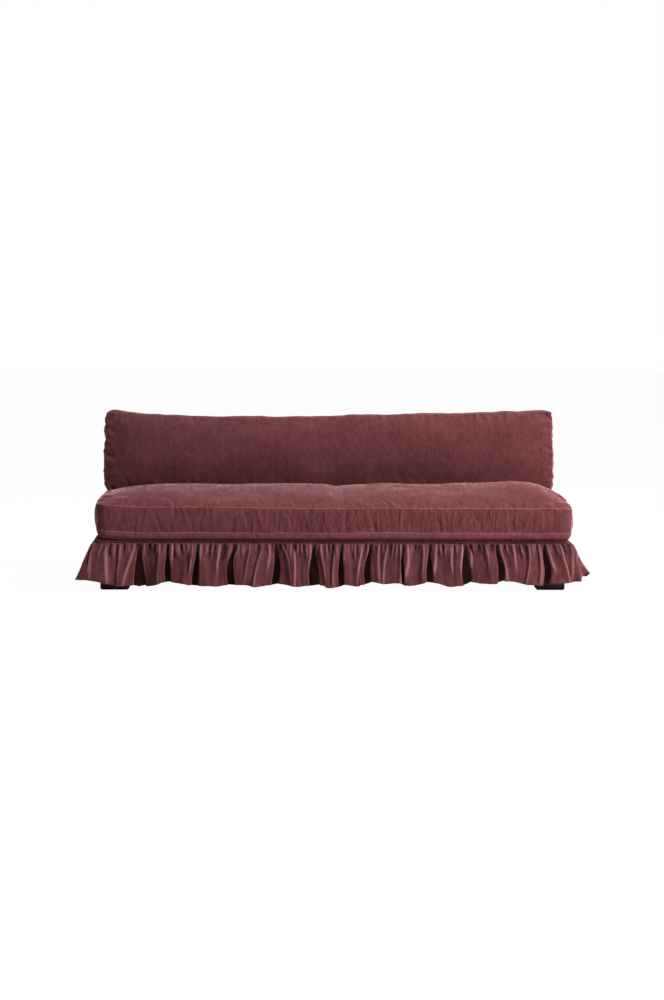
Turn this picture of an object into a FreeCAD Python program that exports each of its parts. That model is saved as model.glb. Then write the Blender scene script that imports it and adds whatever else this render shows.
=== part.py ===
# Armless three-seater sofa: a timber frame on block feet, a sprung deck, a raked back frame, a gathered
# skirt, and two loose bench cushions, of which the back one stands on the seat one.
# Millimetres. X runs along the sofa, +Y to the rear, +Z up. The origin is on the floor, below the middle.

import FreeCAD
import Part
import math
import os

V = FreeCAD.Vector

# Timber frame
FRAME_WIDTH = 2080.0
FRAME_DEPTH = 870.0
RAIL_HEIGHT = 130.0
RAIL_THICK = 28.0
STRETCHER_HEIGHT = 70.0
POST_DEPTH = 50.0
BAYS = 3
CORNER_BLOCK_LEG = 95.0
CORNER_BLOCK_HEIGHT = 50.0

# Raked back frame, measured along the rake from the top of the seat rails
BACK_RAKE = 10.0
POST_RISE = 470.0
TOP_RAIL_THICK = 28.0
LINER_RAIL_START = 35.0
LINER_RAIL_HEIGHT = 70.0
LINER_RAIL_THICK = 22.0
BACK_STRAP_WIDTH = 60.0
BACK_STRAP_THICK = 2.0
BACK_STRAPS_PER_BAY = 4
BACK_PAD_THICK = 16.0
BACK_PAD_START = 20.0
BACK_COVER_THICK = 2.0

# Feet
FOOT_HEIGHT = 80.0
FOOT_WIDTH = 127.0
FOOT_DEPTH = 85.0
FOOT_END_INSET = 8.0
FOOT_SETBACK = 22.0
FOOT_CHAMFER = 3.0
CENTRE_FOOT_SIDE = 60.0
FOOT_PAD_THICK = 3.0
FOOT_PAD_MARGIN = 5.0

# Webbed deck, stacked on the rails from below
SEAT_STRAP_WIDTH = 60.0
SEAT_STRAP_THICK = 2.0
SEAT_STRAPS_PER_BAY = 6
CROSS_STRAPS = 6
INSULATOR_THICK = 1.5
DECK_PAD_THICK = 11.0
DECK_CLOTH_THICK = 1.5
DUST_COVER_THICK = 1.0
DUST_COVER_MARGIN = 6.0
DUST_COVER_FOOT_GAP = 1.0

# Base border and gathered skirt
BORDER_THICK = 4.0
SKIRT_BAND_HEIGHT = 20.0
SKIRT_BAND_THICK = 4.0
SKIRT_BAND_DROP = 4.0
SKIRT_THICK = 3.0
SKIRT_DROP = 178.0
SKIRT_TOP_OUT = 3.4
SKIRT_HEM_OUT_ENDS = 58.0
SKIRT_HEM_OUT_FRONT = 46.0
FOLD_PITCH = 140.0
FOLD_TOP_RATIO = 0.24
FOLD_HEM_RATIO = 0.78
FOLD_UNEVEN_RATIO = 0.20
FOLD_UNEVEN_ANGLE = 2.4
FOLD_RISE_RATIO = 0.30
FOLD_CHORD_COUNT = 8

# Cushions
SOFT_GAP = 0.3
COVER_THICK = 2.0
EDGE_DROP = 0.5
END_SWELL = 9.0
END_SWELL_INSET = 28.0
CORNER_ROUND = 48.0

# Seat cushion
SEAT_END_OVERHANG = 25.0
SEAT_OVERHANG = 12.0
SEAT_BACK_GAP = 8.0
SEAT_LOW_SEAM = 26.0
SEAT_BOXING = 118.0
SEAT_BOXING_SWELL = 8.0
SEAT_CROWN = 80.0
SEAT_END_CROWN = 12.0
SEAT_CROWN_REACH = 260.0
SEAT_CROWN_FROM_FRONT = 317.0
SEAT_BOTTOM_TURN = 34.0
SEAT_TURN_RATIO = 0.21
SEAT_DIP = 18.0
SEAT_DIP_WIDTH = 75.0
SEAT_REST_LENGTH = 144.0
FEATHER_DEPTH = 14.0

# Back cushion, measured on the rake
BACK_END_OVERHANG = 28.0
BACK_START = 152.0
BACK_HEIGHT = 401.0
BACK_SAG = 29.0
BACK_SAG_REACH = 520.0
BACK_REAR_SEAM = 30.0
BACK_BOXING = 120.0
BACK_TOP_SWELL = 7.0
BACK_FRONT_CROWN = 38.0
BACK_END_CROWN = 8.0
BACK_CROWN_REACH = 240.0
BACK_CROWN_RATIO = 0.45
BACK_DIP = 9.0
BACK_DIP_WIDTH = 90.0
BACK_REAR_TURN = 38.0

# Zips
ZIP_END_MARGIN = 160.0
ZIP_TAPE_WIDTH = 24.0
ZIP_TAPE_THICK = 1.2
ZIP_CHAIN_WIDTH = 6.0
ZIP_CHAIN_THICK = 2.0
ZIP_SLIDER_LENGTH = 16.0
ZIP_SLIDER_WALL = 1.4
ZIP_SLIDER_GAP = 0.3

# Places worked out from the sizes above
RAIL_BOTTOM = FOOT_HEIGHT
RAIL_TOP = RAIL_BOTTOM + RAIL_HEIGHT
HALF_WIDTH = FRAME_WIDTH / 2
HALF_DEPTH = FRAME_DEPTH / 2
INNER_HALF_WIDTH = HALF_WIDTH - RAIL_THICK
INNER_HALF_DEPTH = HALF_DEPTH - RAIL_THICK
POST_FRONT = INNER_HALF_DEPTH - POST_DEPTH
BAY_LINES = [FRAME_WIDTH / BAYS * (i + 1) - HALF_WIDTH for i in range(BAYS - 1)]
DECK_TOP = RAIL_TOP + 2 * SEAT_STRAP_THICK + INSULATOR_THICK + DECK_PAD_THICK + DECK_CLOTH_THICK
RAKE = math.radians(BACK_RAKE)
POST_THICK = POST_DEPTH * math.cos(RAKE)
BACK_FACE = -(BACK_STRAP_THICK + BACK_PAD_THICK + BACK_COVER_THICK)
FRAME_TOP_RISE = POST_RISE + TOP_RAIL_THICK
SEAT_BOTTOM = DECK_TOP + SOFT_GAP
SEAT_TOP_SEAM = DECK_TOP + SEAT_LOW_SEAM + SEAT_BOXING
SEAT_FRONT = -HALF_DEPTH - SEAT_OVERHANG
SEAT_HALF_SEAM = HALF_WIDTH + SEAT_END_OVERHANG - END_SWELL
BACK_HALF_SEAM = HALF_WIDTH + BACK_END_OVERHANG - END_SWELL
ZIP_LENGTH = FRAME_WIDTH - 2 * ZIP_END_MARGIN
BACK_FRONT_SEAM = BACK_REAR_SEAM + BACK_BOXING
SKIRT_TOP = DECK_TOP - SKIRT_BAND_DROP - SKIRT_BAND_HEIGHT

nodes = {}


def keep(name, *solids):
    """Stores the solids that make up one named sub-part."""
    nodes[name] = list(solids)


def box(x0, x1, y0, y1, z0, z1):
    return Part.makeBox(x1 - x0, y1 - y0, z1 - z0, V(x0, y0, z0))


def prism(points, push):
    """A solid from a closed outline, pushed along a vector."""
    return Part.Face(Part.makePolygon(points + points[:1])).extrude(push)


def raked(depth, rise):
    """The Y and Z of a point on the raked back: depth behind the posts' front, rise along the rake."""
    y = POST_FRONT + depth * math.cos(RAKE) + rise * math.sin(RAKE)
    z = RAIL_TOP - depth * math.sin(RAKE) + rise * math.cos(RAKE)
    return y, z


def raked_prism(outline, x0, x1):
    """A solid between x0 and x1 whose side view is an outline of depth and rise on the raked back."""
    return prism([V(x0, *raked(depth, rise)) for depth, rise in outline], V(x1 - x0, 0, 0))


def raked_slab(x0, x1, depth0, depth1, rise0, rise1):
    return raked_prism([(depth0, rise0), (depth1, rise0), (depth1, rise1), (depth0, rise1)], x0, x1)


# Seat frame


def seat_frame():
    long_rail = (-HALF_WIDTH, HALF_WIDTH)
    tall = (RAIL_BOTTOM, RAIL_TOP)
    keep("front_rail", box(*long_rail, -HALF_DEPTH, -INNER_HALF_DEPTH, *tall))
    keep("rear_rail", box(*long_rail, INNER_HALF_DEPTH, HALF_DEPTH, *tall))
    run = (-INNER_HALF_DEPTH, POST_FRONT)
    keep("left_end_rail", box(-HALF_WIDTH, -INNER_HALF_WIDTH, *run, *tall))
    keep("right_end_rail", box(INNER_HALF_WIDTH, HALF_WIDTH, *run, *tall))
    for name, x in zip(("left_stretcher", "right_stretcher"), BAY_LINES):
        low = (RAIL_BOTTOM, RAIL_BOTTOM + STRETCHER_HEIGHT)
        keep(name, box(x - RAIL_THICK / 2, x + RAIL_THICK / 2, *run, *low))
    keep("corner_blocks", *[corner_block(*signs) for signs in corner_signs()])


def corner_signs():
    return [(sx, sy) for sy in (-1, 1) for sx in (-1, 1)]


def corner_block(sx, sy):
    """A triangular glue block in an inner corner of the frame, above a foot."""
    x, y = sx * INNER_HALF_WIDTH, sy * INNER_HALF_DEPTH
    outline = [
        V(x, y, RAIL_BOTTOM),
        V(x - sx * CORNER_BLOCK_LEG, y, RAIL_BOTTOM),
        V(x, y - sy * CORNER_BLOCK_LEG, RAIL_BOTTOM),
    ]
    return prism(outline, V(0, 0, CORNER_BLOCK_HEIGHT))


def block_foot(x0, x1, y0, y1):
    """A block foot above its pad, chamfered on its upright and floor edges."""
    block = box(x0, x1, y0, y1, FOOT_PAD_THICK, FOOT_HEIGHT)
    rims = [e for e in block.Edges if e.BoundBox.ZMin < FOOT_HEIGHT - FOOT_CHAMFER]
    return block.makeChamfer(FOOT_CHAMFER, rims)


def foot_pad(x0, x1, y0, y1):
    m = FOOT_PAD_MARGIN
    return box(x0 + m, x1 - m, y0 + m, y1 - m, 0, FOOT_PAD_THICK)


def foot_footprints():
    """Name and footprint of every foot: one below each corner block, one below each stretcher."""
    found = []
    for sx, sy in corner_signs():
        name = f"foot_{'rear' if sy > 0 else 'front'}_{'right' if sx > 0 else 'left'}"
        outer_x, outer_y = HALF_WIDTH - FOOT_END_INSET, HALF_DEPTH - FOOT_SETBACK
        xs = sorted((sx * outer_x, sx * (outer_x - FOOT_WIDTH)))
        ys = sorted((sy * outer_y, sy * (outer_y - FOOT_DEPTH)))
        found.append((name, (*xs, *ys)))
    half = CENTRE_FOOT_SIDE / 2
    for name, x in zip(("foot_centre_left", "foot_centre_right"), BAY_LINES):
        found.append((name, (x - half, x + half, -half, half)))
    return found


FEET = foot_footprints()


def feet():
    for name, footprint in FEET:
        keep(name, block_foot(*footprint))
    keep("foot_pads", *[foot_pad(*footprint) for _, footprint in FEET])


# Back frame


def post(x):
    """A back post: an upright leg against the rear rail, cranked at rail height into the rake."""
    outline = [
        V(x - RAIL_THICK / 2, POST_FRONT, RAIL_BOTTOM),
        V(x - RAIL_THICK / 2, INNER_HALF_DEPTH, RAIL_BOTTOM),
        V(x - RAIL_THICK / 2, INNER_HALF_DEPTH, RAIL_TOP),
        V(x - RAIL_THICK / 2, *raked(POST_THICK, POST_RISE)),
        V(x - RAIL_THICK / 2, *raked(0, POST_RISE)),
        V(x - RAIL_THICK / 2, *raked(0, 0)),
    ]
    return prism(outline, V(RAIL_THICK, 0, 0))


def bay_spans():
    """The clear X spans between neighbouring back posts."""
    end_line = HALF_WIDTH - RAIL_THICK / 2
    lines = [-end_line] + BAY_LINES + [end_line]
    return [(a + RAIL_THICK / 2, b - RAIL_THICK / 2) for a, b in zip(lines, lines[1:])]


def spread(span, count):
    """Centres of count equal shares of a span."""
    step = (span[1] - span[0]) / count
    return [span[0] + step * (i + 0.5) for i in range(count)]


def back_frame():
    end_line = HALF_WIDTH - RAIL_THICK / 2
    names = ("back_post_left", "back_post_mid_left", "back_post_mid_right", "back_post_right")
    for name, x in zip(names, [-end_line] + BAY_LINES + [end_line]):
        keep(name, post(x))
    keep("back_top_rail", raked_slab(-HALF_WIDTH, HALF_WIDTH, 0, POST_THICK, POST_RISE, FRAME_TOP_RISE))
    liner = (0, LINER_RAIL_THICK, LINER_RAIL_START, LINER_RAIL_START + LINER_RAIL_HEIGHT)
    keep("back_liner_rails", *[raked_slab(*span, *liner) for span in bay_spans()])
    half = BACK_STRAP_WIDTH / 2
    places = [x for span in bay_spans() for x in spread(span, BACK_STRAPS_PER_BAY)]
    strap = (-BACK_STRAP_THICK, 0, LINER_RAIL_START, FRAME_TOP_RISE)
    keep("back_webbing", *[raked_slab(x - half, x + half, *strap) for x in places])


def back_upholstery():
    """The padded inside back, its cover over the top rail, the outside back and the two end facings."""
    pad_front = BACK_FACE + BACK_COVER_THICK
    wide = (-HALF_WIDTH, HALF_WIDTH)
    keep("back_pad", raked_slab(*wide, pad_front, -BACK_STRAP_THICK, BACK_PAD_START, FRAME_TOP_RISE))
    rear = POST_THICK + BACK_COVER_THICK
    top = FRAME_TOP_RISE + BACK_COVER_THICK
    inside = [
        (BACK_FACE, BACK_PAD_START),
        (pad_front, BACK_PAD_START),
        (pad_front, FRAME_TOP_RISE),
        (rear, FRAME_TOP_RISE),
        (rear, top),
        (BACK_FACE, top),
    ]
    keep("inside_back_cover", raked_prism(inside, *wide))
    ledge = DECK_TOP + BACK_COVER_THICK
    edge = HALF_DEPTH + BORDER_THICK

    def on_rear_face(depth, z):
        rise = (z - RAIL_TOP + depth * math.sin(RAKE)) / math.cos(RAKE)
        return V(-HALF_WIDTH, *raked(depth, rise))

    outside = [
        V(-HALF_WIDTH, *raked(POST_THICK, FRAME_TOP_RISE)),
        V(-HALF_WIDTH, *raked(rear, FRAME_TOP_RISE)),
        on_rear_face(rear, ledge),
        V(-HALF_WIDTH, edge, ledge),
        V(-HALF_WIDTH, edge, DECK_TOP),
        on_rear_face(POST_THICK, DECK_TOP),
    ]
    keep("outside_back_cover", prism(outside, V(FRAME_WIDTH, 0, 0)))
    facing = [
        V(HALF_WIDTH, *raked(BACK_FACE, BACK_PAD_START)),
        V(HALF_WIDTH, *raked(BACK_FACE, top)),
        V(HALF_WIDTH, *raked(rear, top)),
        on_rear_face(rear, ledge) + V(FRAME_WIDTH, 0, 0),
        V(HALF_WIDTH, edge, ledge),
        V(HALF_WIDTH, edge, DECK_TOP),
        V(HALF_WIDTH, raked(BACK_FACE, BACK_PAD_START)[0], DECK_TOP),
    ]
    right = prism(facing, V(BACK_COVER_THICK, 0, 0))
    keep("back_facing_right", right)
    keep("back_facing_left", right.mirror(V(0, 0, 0), V(1, 0, 0)))


# Webbed deck


def deck():
    """Straps from front to rear rail, straps across them, then the deck's layers."""
    half = SEAT_STRAP_WIDTH / 2
    long_places = [x for span in bay_spans() for x in spread(span, SEAT_STRAPS_PER_BAY)]
    z0 = RAIL_TOP
    z1 = z0 + SEAT_STRAP_THICK
    z2 = z1 + SEAT_STRAP_THICK
    run = (-HALF_DEPTH, HALF_DEPTH)
    keep("seat_webbing_long", *[box(x - half, x + half, *run, z0, z1) for x in long_places])
    rear = raked(BACK_FACE, BACK_PAD_START)[0] - SOFT_GAP
    cross_places = spread((-INNER_HALF_DEPTH, rear), CROSS_STRAPS)
    keep("seat_webbing_cross", *[box(-HALF_WIDTH, HALF_WIDTH, y - half, y + half, z1, z2) for y in cross_places])
    area = (-HALF_WIDTH, HALF_WIDTH, -HALF_DEPTH, rear)
    z3 = z2 + INSULATOR_THICK
    z4 = z3 + DECK_PAD_THICK
    keep("deck_insulator", box(*area, z2, z3))
    keep("deck_pad", box(*area, z3, z4))
    keep("deck_cloth", box(*area, z4, DECK_TOP))


def dust_cover():
    """The thin cloth under the frame, cut out around the feet."""
    x = HALF_WIDTH - DUST_COVER_MARGIN
    y = HALF_DEPTH - DUST_COVER_MARGIN
    sheet = box(-x, x, -y, y, RAIL_BOTTOM - DUST_COVER_THICK, RAIL_BOTTOM)
    gap = DUST_COVER_FOOT_GAP
    holes = []
    for _, (x0, x1, y0, y1) in FEET:
        holes.append(box(x0 - gap, x1 + gap, y0 - gap, y1 + gap, 0, RAIL_TOP))
    keep("dust_cover", sheet.cut(Part.makeCompound(holes)).Solids[0])


# Base border and skirt


def ring(reach, thick, z0, z1):
    """A flat band round the frame, from reach outside the timber outwards."""
    x, y = HALF_WIDTH + reach, HALF_DEPTH + reach
    outer = box(-x - thick, x + thick, -y - thick, y + thick, z0, z1)
    return outer.cut(box(-x, x, -y, y, z0, z1))


def fold_pitches(length):
    """Shares of the folds along one side, uneven by a fixed rule and adding up to one."""
    count = max(2, round(length / FOLD_PITCH))
    pitches = [1 + FOLD_UNEVEN_RATIO * math.sin(FOLD_UNEVEN_ANGLE * i) for i in range(count)]
    return [p / sum(pitches) for p in pitches]


def fold_line(shares, half, out, crest_share):
    """One edge of the gathered cloth as (along, out) points: round crests between flat valleys."""
    line = [(-half, out)]
    along = -half
    sweep = 2 * math.atan(2 * FOLD_RISE_RATIO)
    for share in shares:
        pitch = 2 * half * share
        radius = crest_share * pitch / (2 * math.sin(sweep))
        for j in range(FOLD_CHORD_COUNT + 1):
            angle = sweep * (2 * j / FOLD_CHORD_COUNT - 1)
            x = along + pitch / 2 + radius * math.sin(angle)
            line.append((x, out + radius * (math.cos(angle) - math.cos(sweep))))
        along += pitch
    return line + [(half, out)]


def drawn_in(line, inset):
    """A line of (along, out) points moved in by an inset, its pieces still parallel; its ends are mitred."""
    normals = []
    for (x0, y0), (x1, y1) in zip(line, line[1:]):
        length = math.hypot(x1 - x0, y1 - y0)
        normals.append(((y1 - y0) / length, (x0 - x1) / length))
    moved = []
    for point, before, after in zip(line, [(1, 0)] + normals, normals + [(-1, 0)]):
        share = inset / (1 + before[0] * after[0] + before[1] * after[1])
        moved.append(tuple(p + share * (m + n) for p, m, n in zip(point, before, after)))
    return moved


def flat_faced(low, high):
    """A solid between two closed outlines whose matching sides are parallel, with one flat face for each."""
    rings = list(zip(low, high))
    outlines = [low, high]
    for (a, c), (b, d) in zip(rings, rings[1:] + rings[:1]):
        outlines.append([a, b, d, c])
    return Part.Solid(Part.Shell([Part.Face(Part.makePolygon(o + o[:1])) for o in outlines]))


def arcs(points):
    """Edges through a list of knots with an arc's middle point, or None for a straight edge, between them."""
    edges = []
    for i in range(0, len(points) - 2, 2):
        start, middle, end = points[i:i + 3]
        if middle is None:
            edges.append(Part.makeLine(start, end))
        else:
            edges.append(Part.Arc(start, middle, end).toShape())
    return edges


def loft(wires):
    return Part.makeLoft(wires, True, True)


def sheet_wire(outer, inner):
    """A closed wire round a thin sheet's section, from its outer and inner lines."""
    back = inner[::-1]
    edges = arcs(outer) + [Part.makeLine(outer[-1], back[0])]
    edges += arcs(back) + [Part.makeLine(back[-1], outer[0])]
    return Part.Wire(edges)


def skirt_panel(half, face, hem_out_side, hem_out_end, place):
    """One gathered side of the skirt: folds that open like cones from the band to the flared hem."""
    shares = fold_pitches(2 * half)
    levels = (
        (SKIRT_TOP, SKIRT_TOP_OUT, SKIRT_TOP_OUT, FOLD_TOP_RATIO),
        (SKIRT_TOP - SKIRT_DROP, hem_out_side, hem_out_end, FOLD_HEM_RATIO),
    )
    rims = []
    for z, out, end_out, crest_share in levels:
        outer = fold_line(shares, half + end_out, face + out, crest_share)
        rims.append([place(*p, z) for p in outer + drawn_in(outer, SKIRT_THICK)[::-1]])
    return flat_faced(*rims)


def skirt():
    x_face = HALF_WIDTH + BORDER_THICK
    y_face = HALF_DEPTH + BORDER_THICK
    keep("base_border", ring(0, BORDER_THICK, RAIL_BOTTOM, DECK_TOP))
    band_top = SKIRT_TOP + SKIRT_BAND_HEIGHT
    keep("skirt_band", ring(BORDER_THICK, SKIRT_BAND_THICK, SKIRT_TOP, band_top))
    front = (x_face, y_face, SKIRT_HEM_OUT_FRONT, SKIRT_HEM_OUT_ENDS)
    end = (y_face, x_face, SKIRT_HEM_OUT_ENDS, SKIRT_HEM_OUT_FRONT)
    keep("skirt_front", skirt_panel(*front, lambda along, out, z: V(along, -out, z)))
    keep("skirt_rear", skirt_panel(*front, lambda along, out, z: V(-along, out, z)))
    keep("skirt_right", skirt_panel(*end, lambda along, out, z: V(out, along, z)))
    keep("skirt_left", skirt_panel(*end, lambda along, out, z: V(-out, -along, z)))


# Cushions: a section at each station along X, as paths of knots and arc middles


def ease(t):
    """A rise from 0 to 1 that is steep at first and level at the end."""
    t = min(max(t, 0.0), 1.0)
    return 1 - (1 - t) ** 2.2


def corner_draw(end):
    """How far the plan outline is drawn in, at a distance from the end seam, by the rounded corners."""
    if end >= CORNER_ROUND:
        return 0.0
    return CORNER_ROUND - math.sqrt(CORNER_ROUND ** 2 - (CORNER_ROUND - end) ** 2)


def dip(x, depth, width):
    """The valley at the middle, where the fill is divided in two."""
    return depth * math.exp(-((x / width) ** 2))


def crown_middle(foot, apex, level_axis):
    """Middle of the arc from a foot to an apex that is level at the apex; level_axis is 0 or 1."""
    run = foot[level_axis] - apex[level_axis]
    drop = apex[1 - level_axis] - foot[1 - level_axis]
    radius = (run * run + drop * drop) / (2 * drop)
    half = math.asin(max(-1.0, min(1.0, run / radius))) / 2
    middle = [0.0, 0.0]
    middle[level_axis] = apex[level_axis] + radius * math.sin(half)
    middle[1 - level_axis] = apex[1 - level_axis] - radius + radius * math.cos(half)
    return tuple(middle)


def between(a, b, push=(0.0, 0.0)):
    return ((a[0] + b[0]) / 2 + push[0], (a[1] + b[1]) / 2 + push[1])


def seat_rear():
    return raked(BACK_FACE, BACK_PAD_START)[0] - SEAT_BACK_GAP


def rest_height(y):
    """Height of the seat's top where the back cushion stands on it, square to the rake."""
    foot_y, foot_z = raked(BACK_FACE, BACK_START)
    return foot_z - (y - foot_y) * math.tan(RAKE) - SOFT_GAP / math.cos(RAKE)


def seat_paths(x, inset):
    """The seat cushion's section at x, drawn in by inset, as (y, z) paths for its panels."""
    end = SEAT_HALF_SEAM - abs(x)
    draw = corner_draw(end) + inset
    front = SEAT_FRONT + draw
    rear = seat_rear() - draw
    low = DECK_TOP + SEAT_LOW_SEAM + inset
    bottom = SEAT_BOTTOM + (low - SEAT_BOTTOM) * (1 - ease(end / SEAT_BOTTOM_TURN)) + inset
    bottom = min(bottom, low - EDGE_DROP)
    high = SEAT_TOP_SEAM - inset
    rear_high = rest_height(rear) - inset
    rest_y = seat_rear() - SEAT_REST_LENGTH
    rest = (rest_y, rest_height(rest_y) - inset - SEAT_END_CROWN * (1 - ease(end / CORNER_ROUND)))
    rise = (SEAT_CROWN - SEAT_END_CROWN) * ease(end / SEAT_CROWN_REACH) - dip(x, SEAT_DIP, SEAT_DIP_WIDTH)
    apex = (SEAT_FRONT + SEAT_CROWN_FROM_FRONT, SEAT_TOP_SEAM + SEAT_END_CROWN + rise - inset)
    turn, full = SEAT_BOTTOM_TURN, SEAT_TURN_RATIO
    low_front, high_front = (front, low), (front, high)
    low_rear, high_rear = (rear, low), (rear, rear_high)
    base_front, base_rear = (front + turn, bottom), (rear - turn, bottom)
    top_front = crown_middle(high_front, apex, 0)
    top_rear = between(apex, rest, (0, (apex[1] - rest[1]) / 6))
    return {
        "front": [low_front, between(low_front, high_front, (-SEAT_BOXING_SWELL, 0)), high_front],
        "top": [high_front, top_front, apex, top_rear, rest, None, high_rear],
        "rear": [high_rear, None, low_rear],
        "bottom": [
            low_rear,
            between(low_rear, base_rear, (full * turn, full * (bottom - low))),
            base_rear,
            None,
            base_front,
            between(low_front, base_front, (-full * turn, full * (bottom - low))),
            low_front,
        ],
    }


def back_paths(x, inset):
    """The back cushion's section at x, drawn in by inset, as (y, z) paths for its panels."""
    end = BACK_HALF_SEAM - abs(x)
    draw = corner_draw(end) / 2 + inset
    sag = BACK_SAG * ease(end / BACK_SAG_REACH)
    foot = BACK_START + draw
    head = BACK_START + BACK_HEIGHT - sag - draw
    rear_seam, front_seam = BACK_REAR_SEAM, BACK_FRONT_SEAM - inset
    rise = BACK_END_CROWN + (BACK_FRONT_CROWN - BACK_END_CROWN) * ease(end / BACK_CROWN_REACH)
    rise -= dip(x, BACK_DIP, BACK_DIP_WIDTH)
    face = inset
    turn = BACK_REAR_TURN
    apex = (front_seam + rise, foot + (head - foot) * BACK_CROWN_RATIO)
    low_rear, high_rear = (rear_seam + inset / 2, foot), (rear_seam + inset / 2, head)
    low_front, high_front = (front_seam, foot), (front_seam, head)
    flat_low, flat_high = (face, foot + turn), (face, head - turn)
    top_middle = between(high_rear, high_front, (0, BACK_TOP_SWELL))
    turn_middle = between(flat_high, high_rear, (-rear_seam / 8, turn / 8))
    paths = {
        "front": [
            high_front,
            crown_middle(high_front, apex, 1),
            apex,
            crown_middle(low_front, apex, 1),
            low_front,
        ],
        "bottom": [low_front, None, low_rear],
        "rear": [low_rear, None, flat_low, None, flat_high, turn_middle, high_rear],
        "top": [high_rear, top_middle, high_front],
    }
    stand = BACK_FACE - SOFT_GAP
    return {
        name: [p and raked(stand - p[0], p[1] + SOFT_GAP) for p in path] for name, path in paths.items()
    }


def stations(half, reach, dip_width):
    """X places of the sections, closer together at the ends and at the dip in the middle."""
    near_end = [0.0, CORNER_ROUND / 4, CORNER_ROUND, reach / 2, reach]
    right = [dip_width, 2.5 * dip_width] + [half - e for e in reversed(near_end)]
    return [-x for x in reversed(right)] + [0.0] + right


def lift_path(x, path):
    return [p and V(x, *p) for p in path]


def cover_panel(paths, name, places):
    """A thin cover panel through the stations, from its outer and inner paths."""
    wires = []
    for x in places:
        outer = lift_path(x, paths(x, 0)[name])
        inner = lift_path(x, paths(x, COVER_THICK)[name])
        wires.append(sheet_wire(outer, inner))
    return loft(wires)


def full_wire(paths, x, place, inset):
    edges = []
    for path in paths(x, inset).values():
        edges += arcs(lift_path(place, path))
    return Part.Wire(edges)


def end_cap(paths, half):
    """The padded boxing at the right-hand end, swelling out from the ends of the panels."""
    steps = [(0.0, 0.0), (END_SWELL, END_SWELL_INSET)]
    return loft([full_wire(paths, half, half + out, draw) for out, draw in steps])


def straight(x, points):
    """A closed straight-sided wire at x through the points, leaving out doubled ones."""
    kept = []
    for p in points:
        if p is not None and p not in kept:
            kept.append(p)
    return Part.makePolygon([V(x, *p) for p in kept + kept[:1]])


def fill_sections(paths, places, half):
    """Place and section of the right-hand fill, stopped just short of the middle and of the end boxing."""
    found = []
    for x in places:
        if x >= 0:
            place = min(max(x, SOFT_GAP), half - SOFT_GAP)
            found.append((place, paths(x, COVER_THICK + SOFT_GAP)))
    return found


def seat_cushion():
    places = stations(SEAT_HALF_SEAM, SEAT_CROWN_REACH, SEAT_DIP_WIDTH)
    keep("seat_top_panel", cover_panel(seat_paths, "top", places))
    keep("seat_front_boxing", cover_panel(seat_paths, "front", places))
    keep("seat_zip_boxing", cover_panel(seat_paths, "rear", places))
    keep("seat_bottom_panel", cover_panel(seat_paths, "bottom", places))
    cap = end_cap(seat_paths, SEAT_HALF_SEAM)
    keep("seat_end_boxing_right", cap)
    keep("seat_end_boxing_left", cap.mirror(V(0, 0, 0), V(1, 0, 0)))

    feathers = []
    cores = []
    for x, section in fill_sections(seat_paths, places, SEAT_HALF_SEAM):
        front, rear = section["top"][0], section["top"][-1]
        lid = [(p[0], p[1] - FEATHER_DEPTH) for p in (rear, front)]
        feathers.append(straight(x, section["top"] + lid))
        core_top = [(p[0], p[1] - FEATHER_DEPTH - SOFT_GAP) for p in (front, rear)]
        cores.append((x, core_top + section["bottom"]))
    keep("seat_feather_right", loft(feathers))
    keep("seat_feather_left", loft(feathers).mirror(V(0, 0, 0), V(1, 0, 0)))
    both = [(-x, points) for x, points in reversed(cores)] + cores
    keep("seat_foam_core", loft([straight(x, points) for x, points in both]))


def back_cushion():
    places = stations(BACK_HALF_SEAM, BACK_CROWN_REACH, BACK_DIP_WIDTH)
    keep("back_front_panel", cover_panel(back_paths, "front", places))
    keep("back_rear_panel", cover_panel(back_paths, "rear", places))
    keep("back_top_boxing", cover_panel(back_paths, "top", places))
    keep("back_bottom_boxing", cover_panel(back_paths, "bottom", places))
    cap = end_cap(back_paths, BACK_HALF_SEAM)
    keep("back_end_boxing_right", cap)
    keep("back_end_boxing_left", cap.mirror(V(0, 0, 0), V(1, 0, 0)))
    wires = []
    for x, section in fill_sections(back_paths, places, BACK_HALF_SEAM):
        wires.append(straight(x, [p for path in section.values() for p in path]))
    keep("back_feather_right", loft(wires))
    keep("back_feather_left", loft(wires).mirror(V(0, 0, 0), V(1, 0, 0)))


# Zips, each a chain on a tape with a slider that has no pull, as cushion covers have


def zip_pieces(middle, across, outward):
    """The tape with its chain, and the slider at its left end; across lies in the cover, outward leaves it."""
    half = ZIP_LENGTH / 2

    def outline(x, pairs):
        return [middle + V(x, 0, 0) + across * a + outward * b for a, b in pairs]

    tape, chain = ZIP_TAPE_WIDTH / 2, ZIP_CHAIN_WIDTH / 2
    t0, t1 = ZIP_TAPE_THICK, ZIP_TAPE_THICK + ZIP_CHAIN_THICK
    tee = [(-tape, 0), (tape, 0), (tape, t0), (chain, t0), (chain, t1), (-chain, t1), (-chain, t0), (-tape, t0)]
    strip = prism(outline(-half, tee), V(ZIP_LENGTH, 0, 0))
    inner = chain + ZIP_SLIDER_GAP
    outer = inner + ZIP_SLIDER_WALL
    s0, s1 = t0 + ZIP_SLIDER_GAP, t1 + ZIP_SLIDER_GAP
    s2 = s1 + ZIP_SLIDER_WALL
    channel = [(-outer, s0), (-inner, s0), (-inner, s1), (inner, s1), (inner, s0), (outer, s0), (outer, s2), (-outer, s2)]
    slider = prism(outline(-half, channel), V(ZIP_SLIDER_LENGTH, 0, 0))
    return strip, slider


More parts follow.
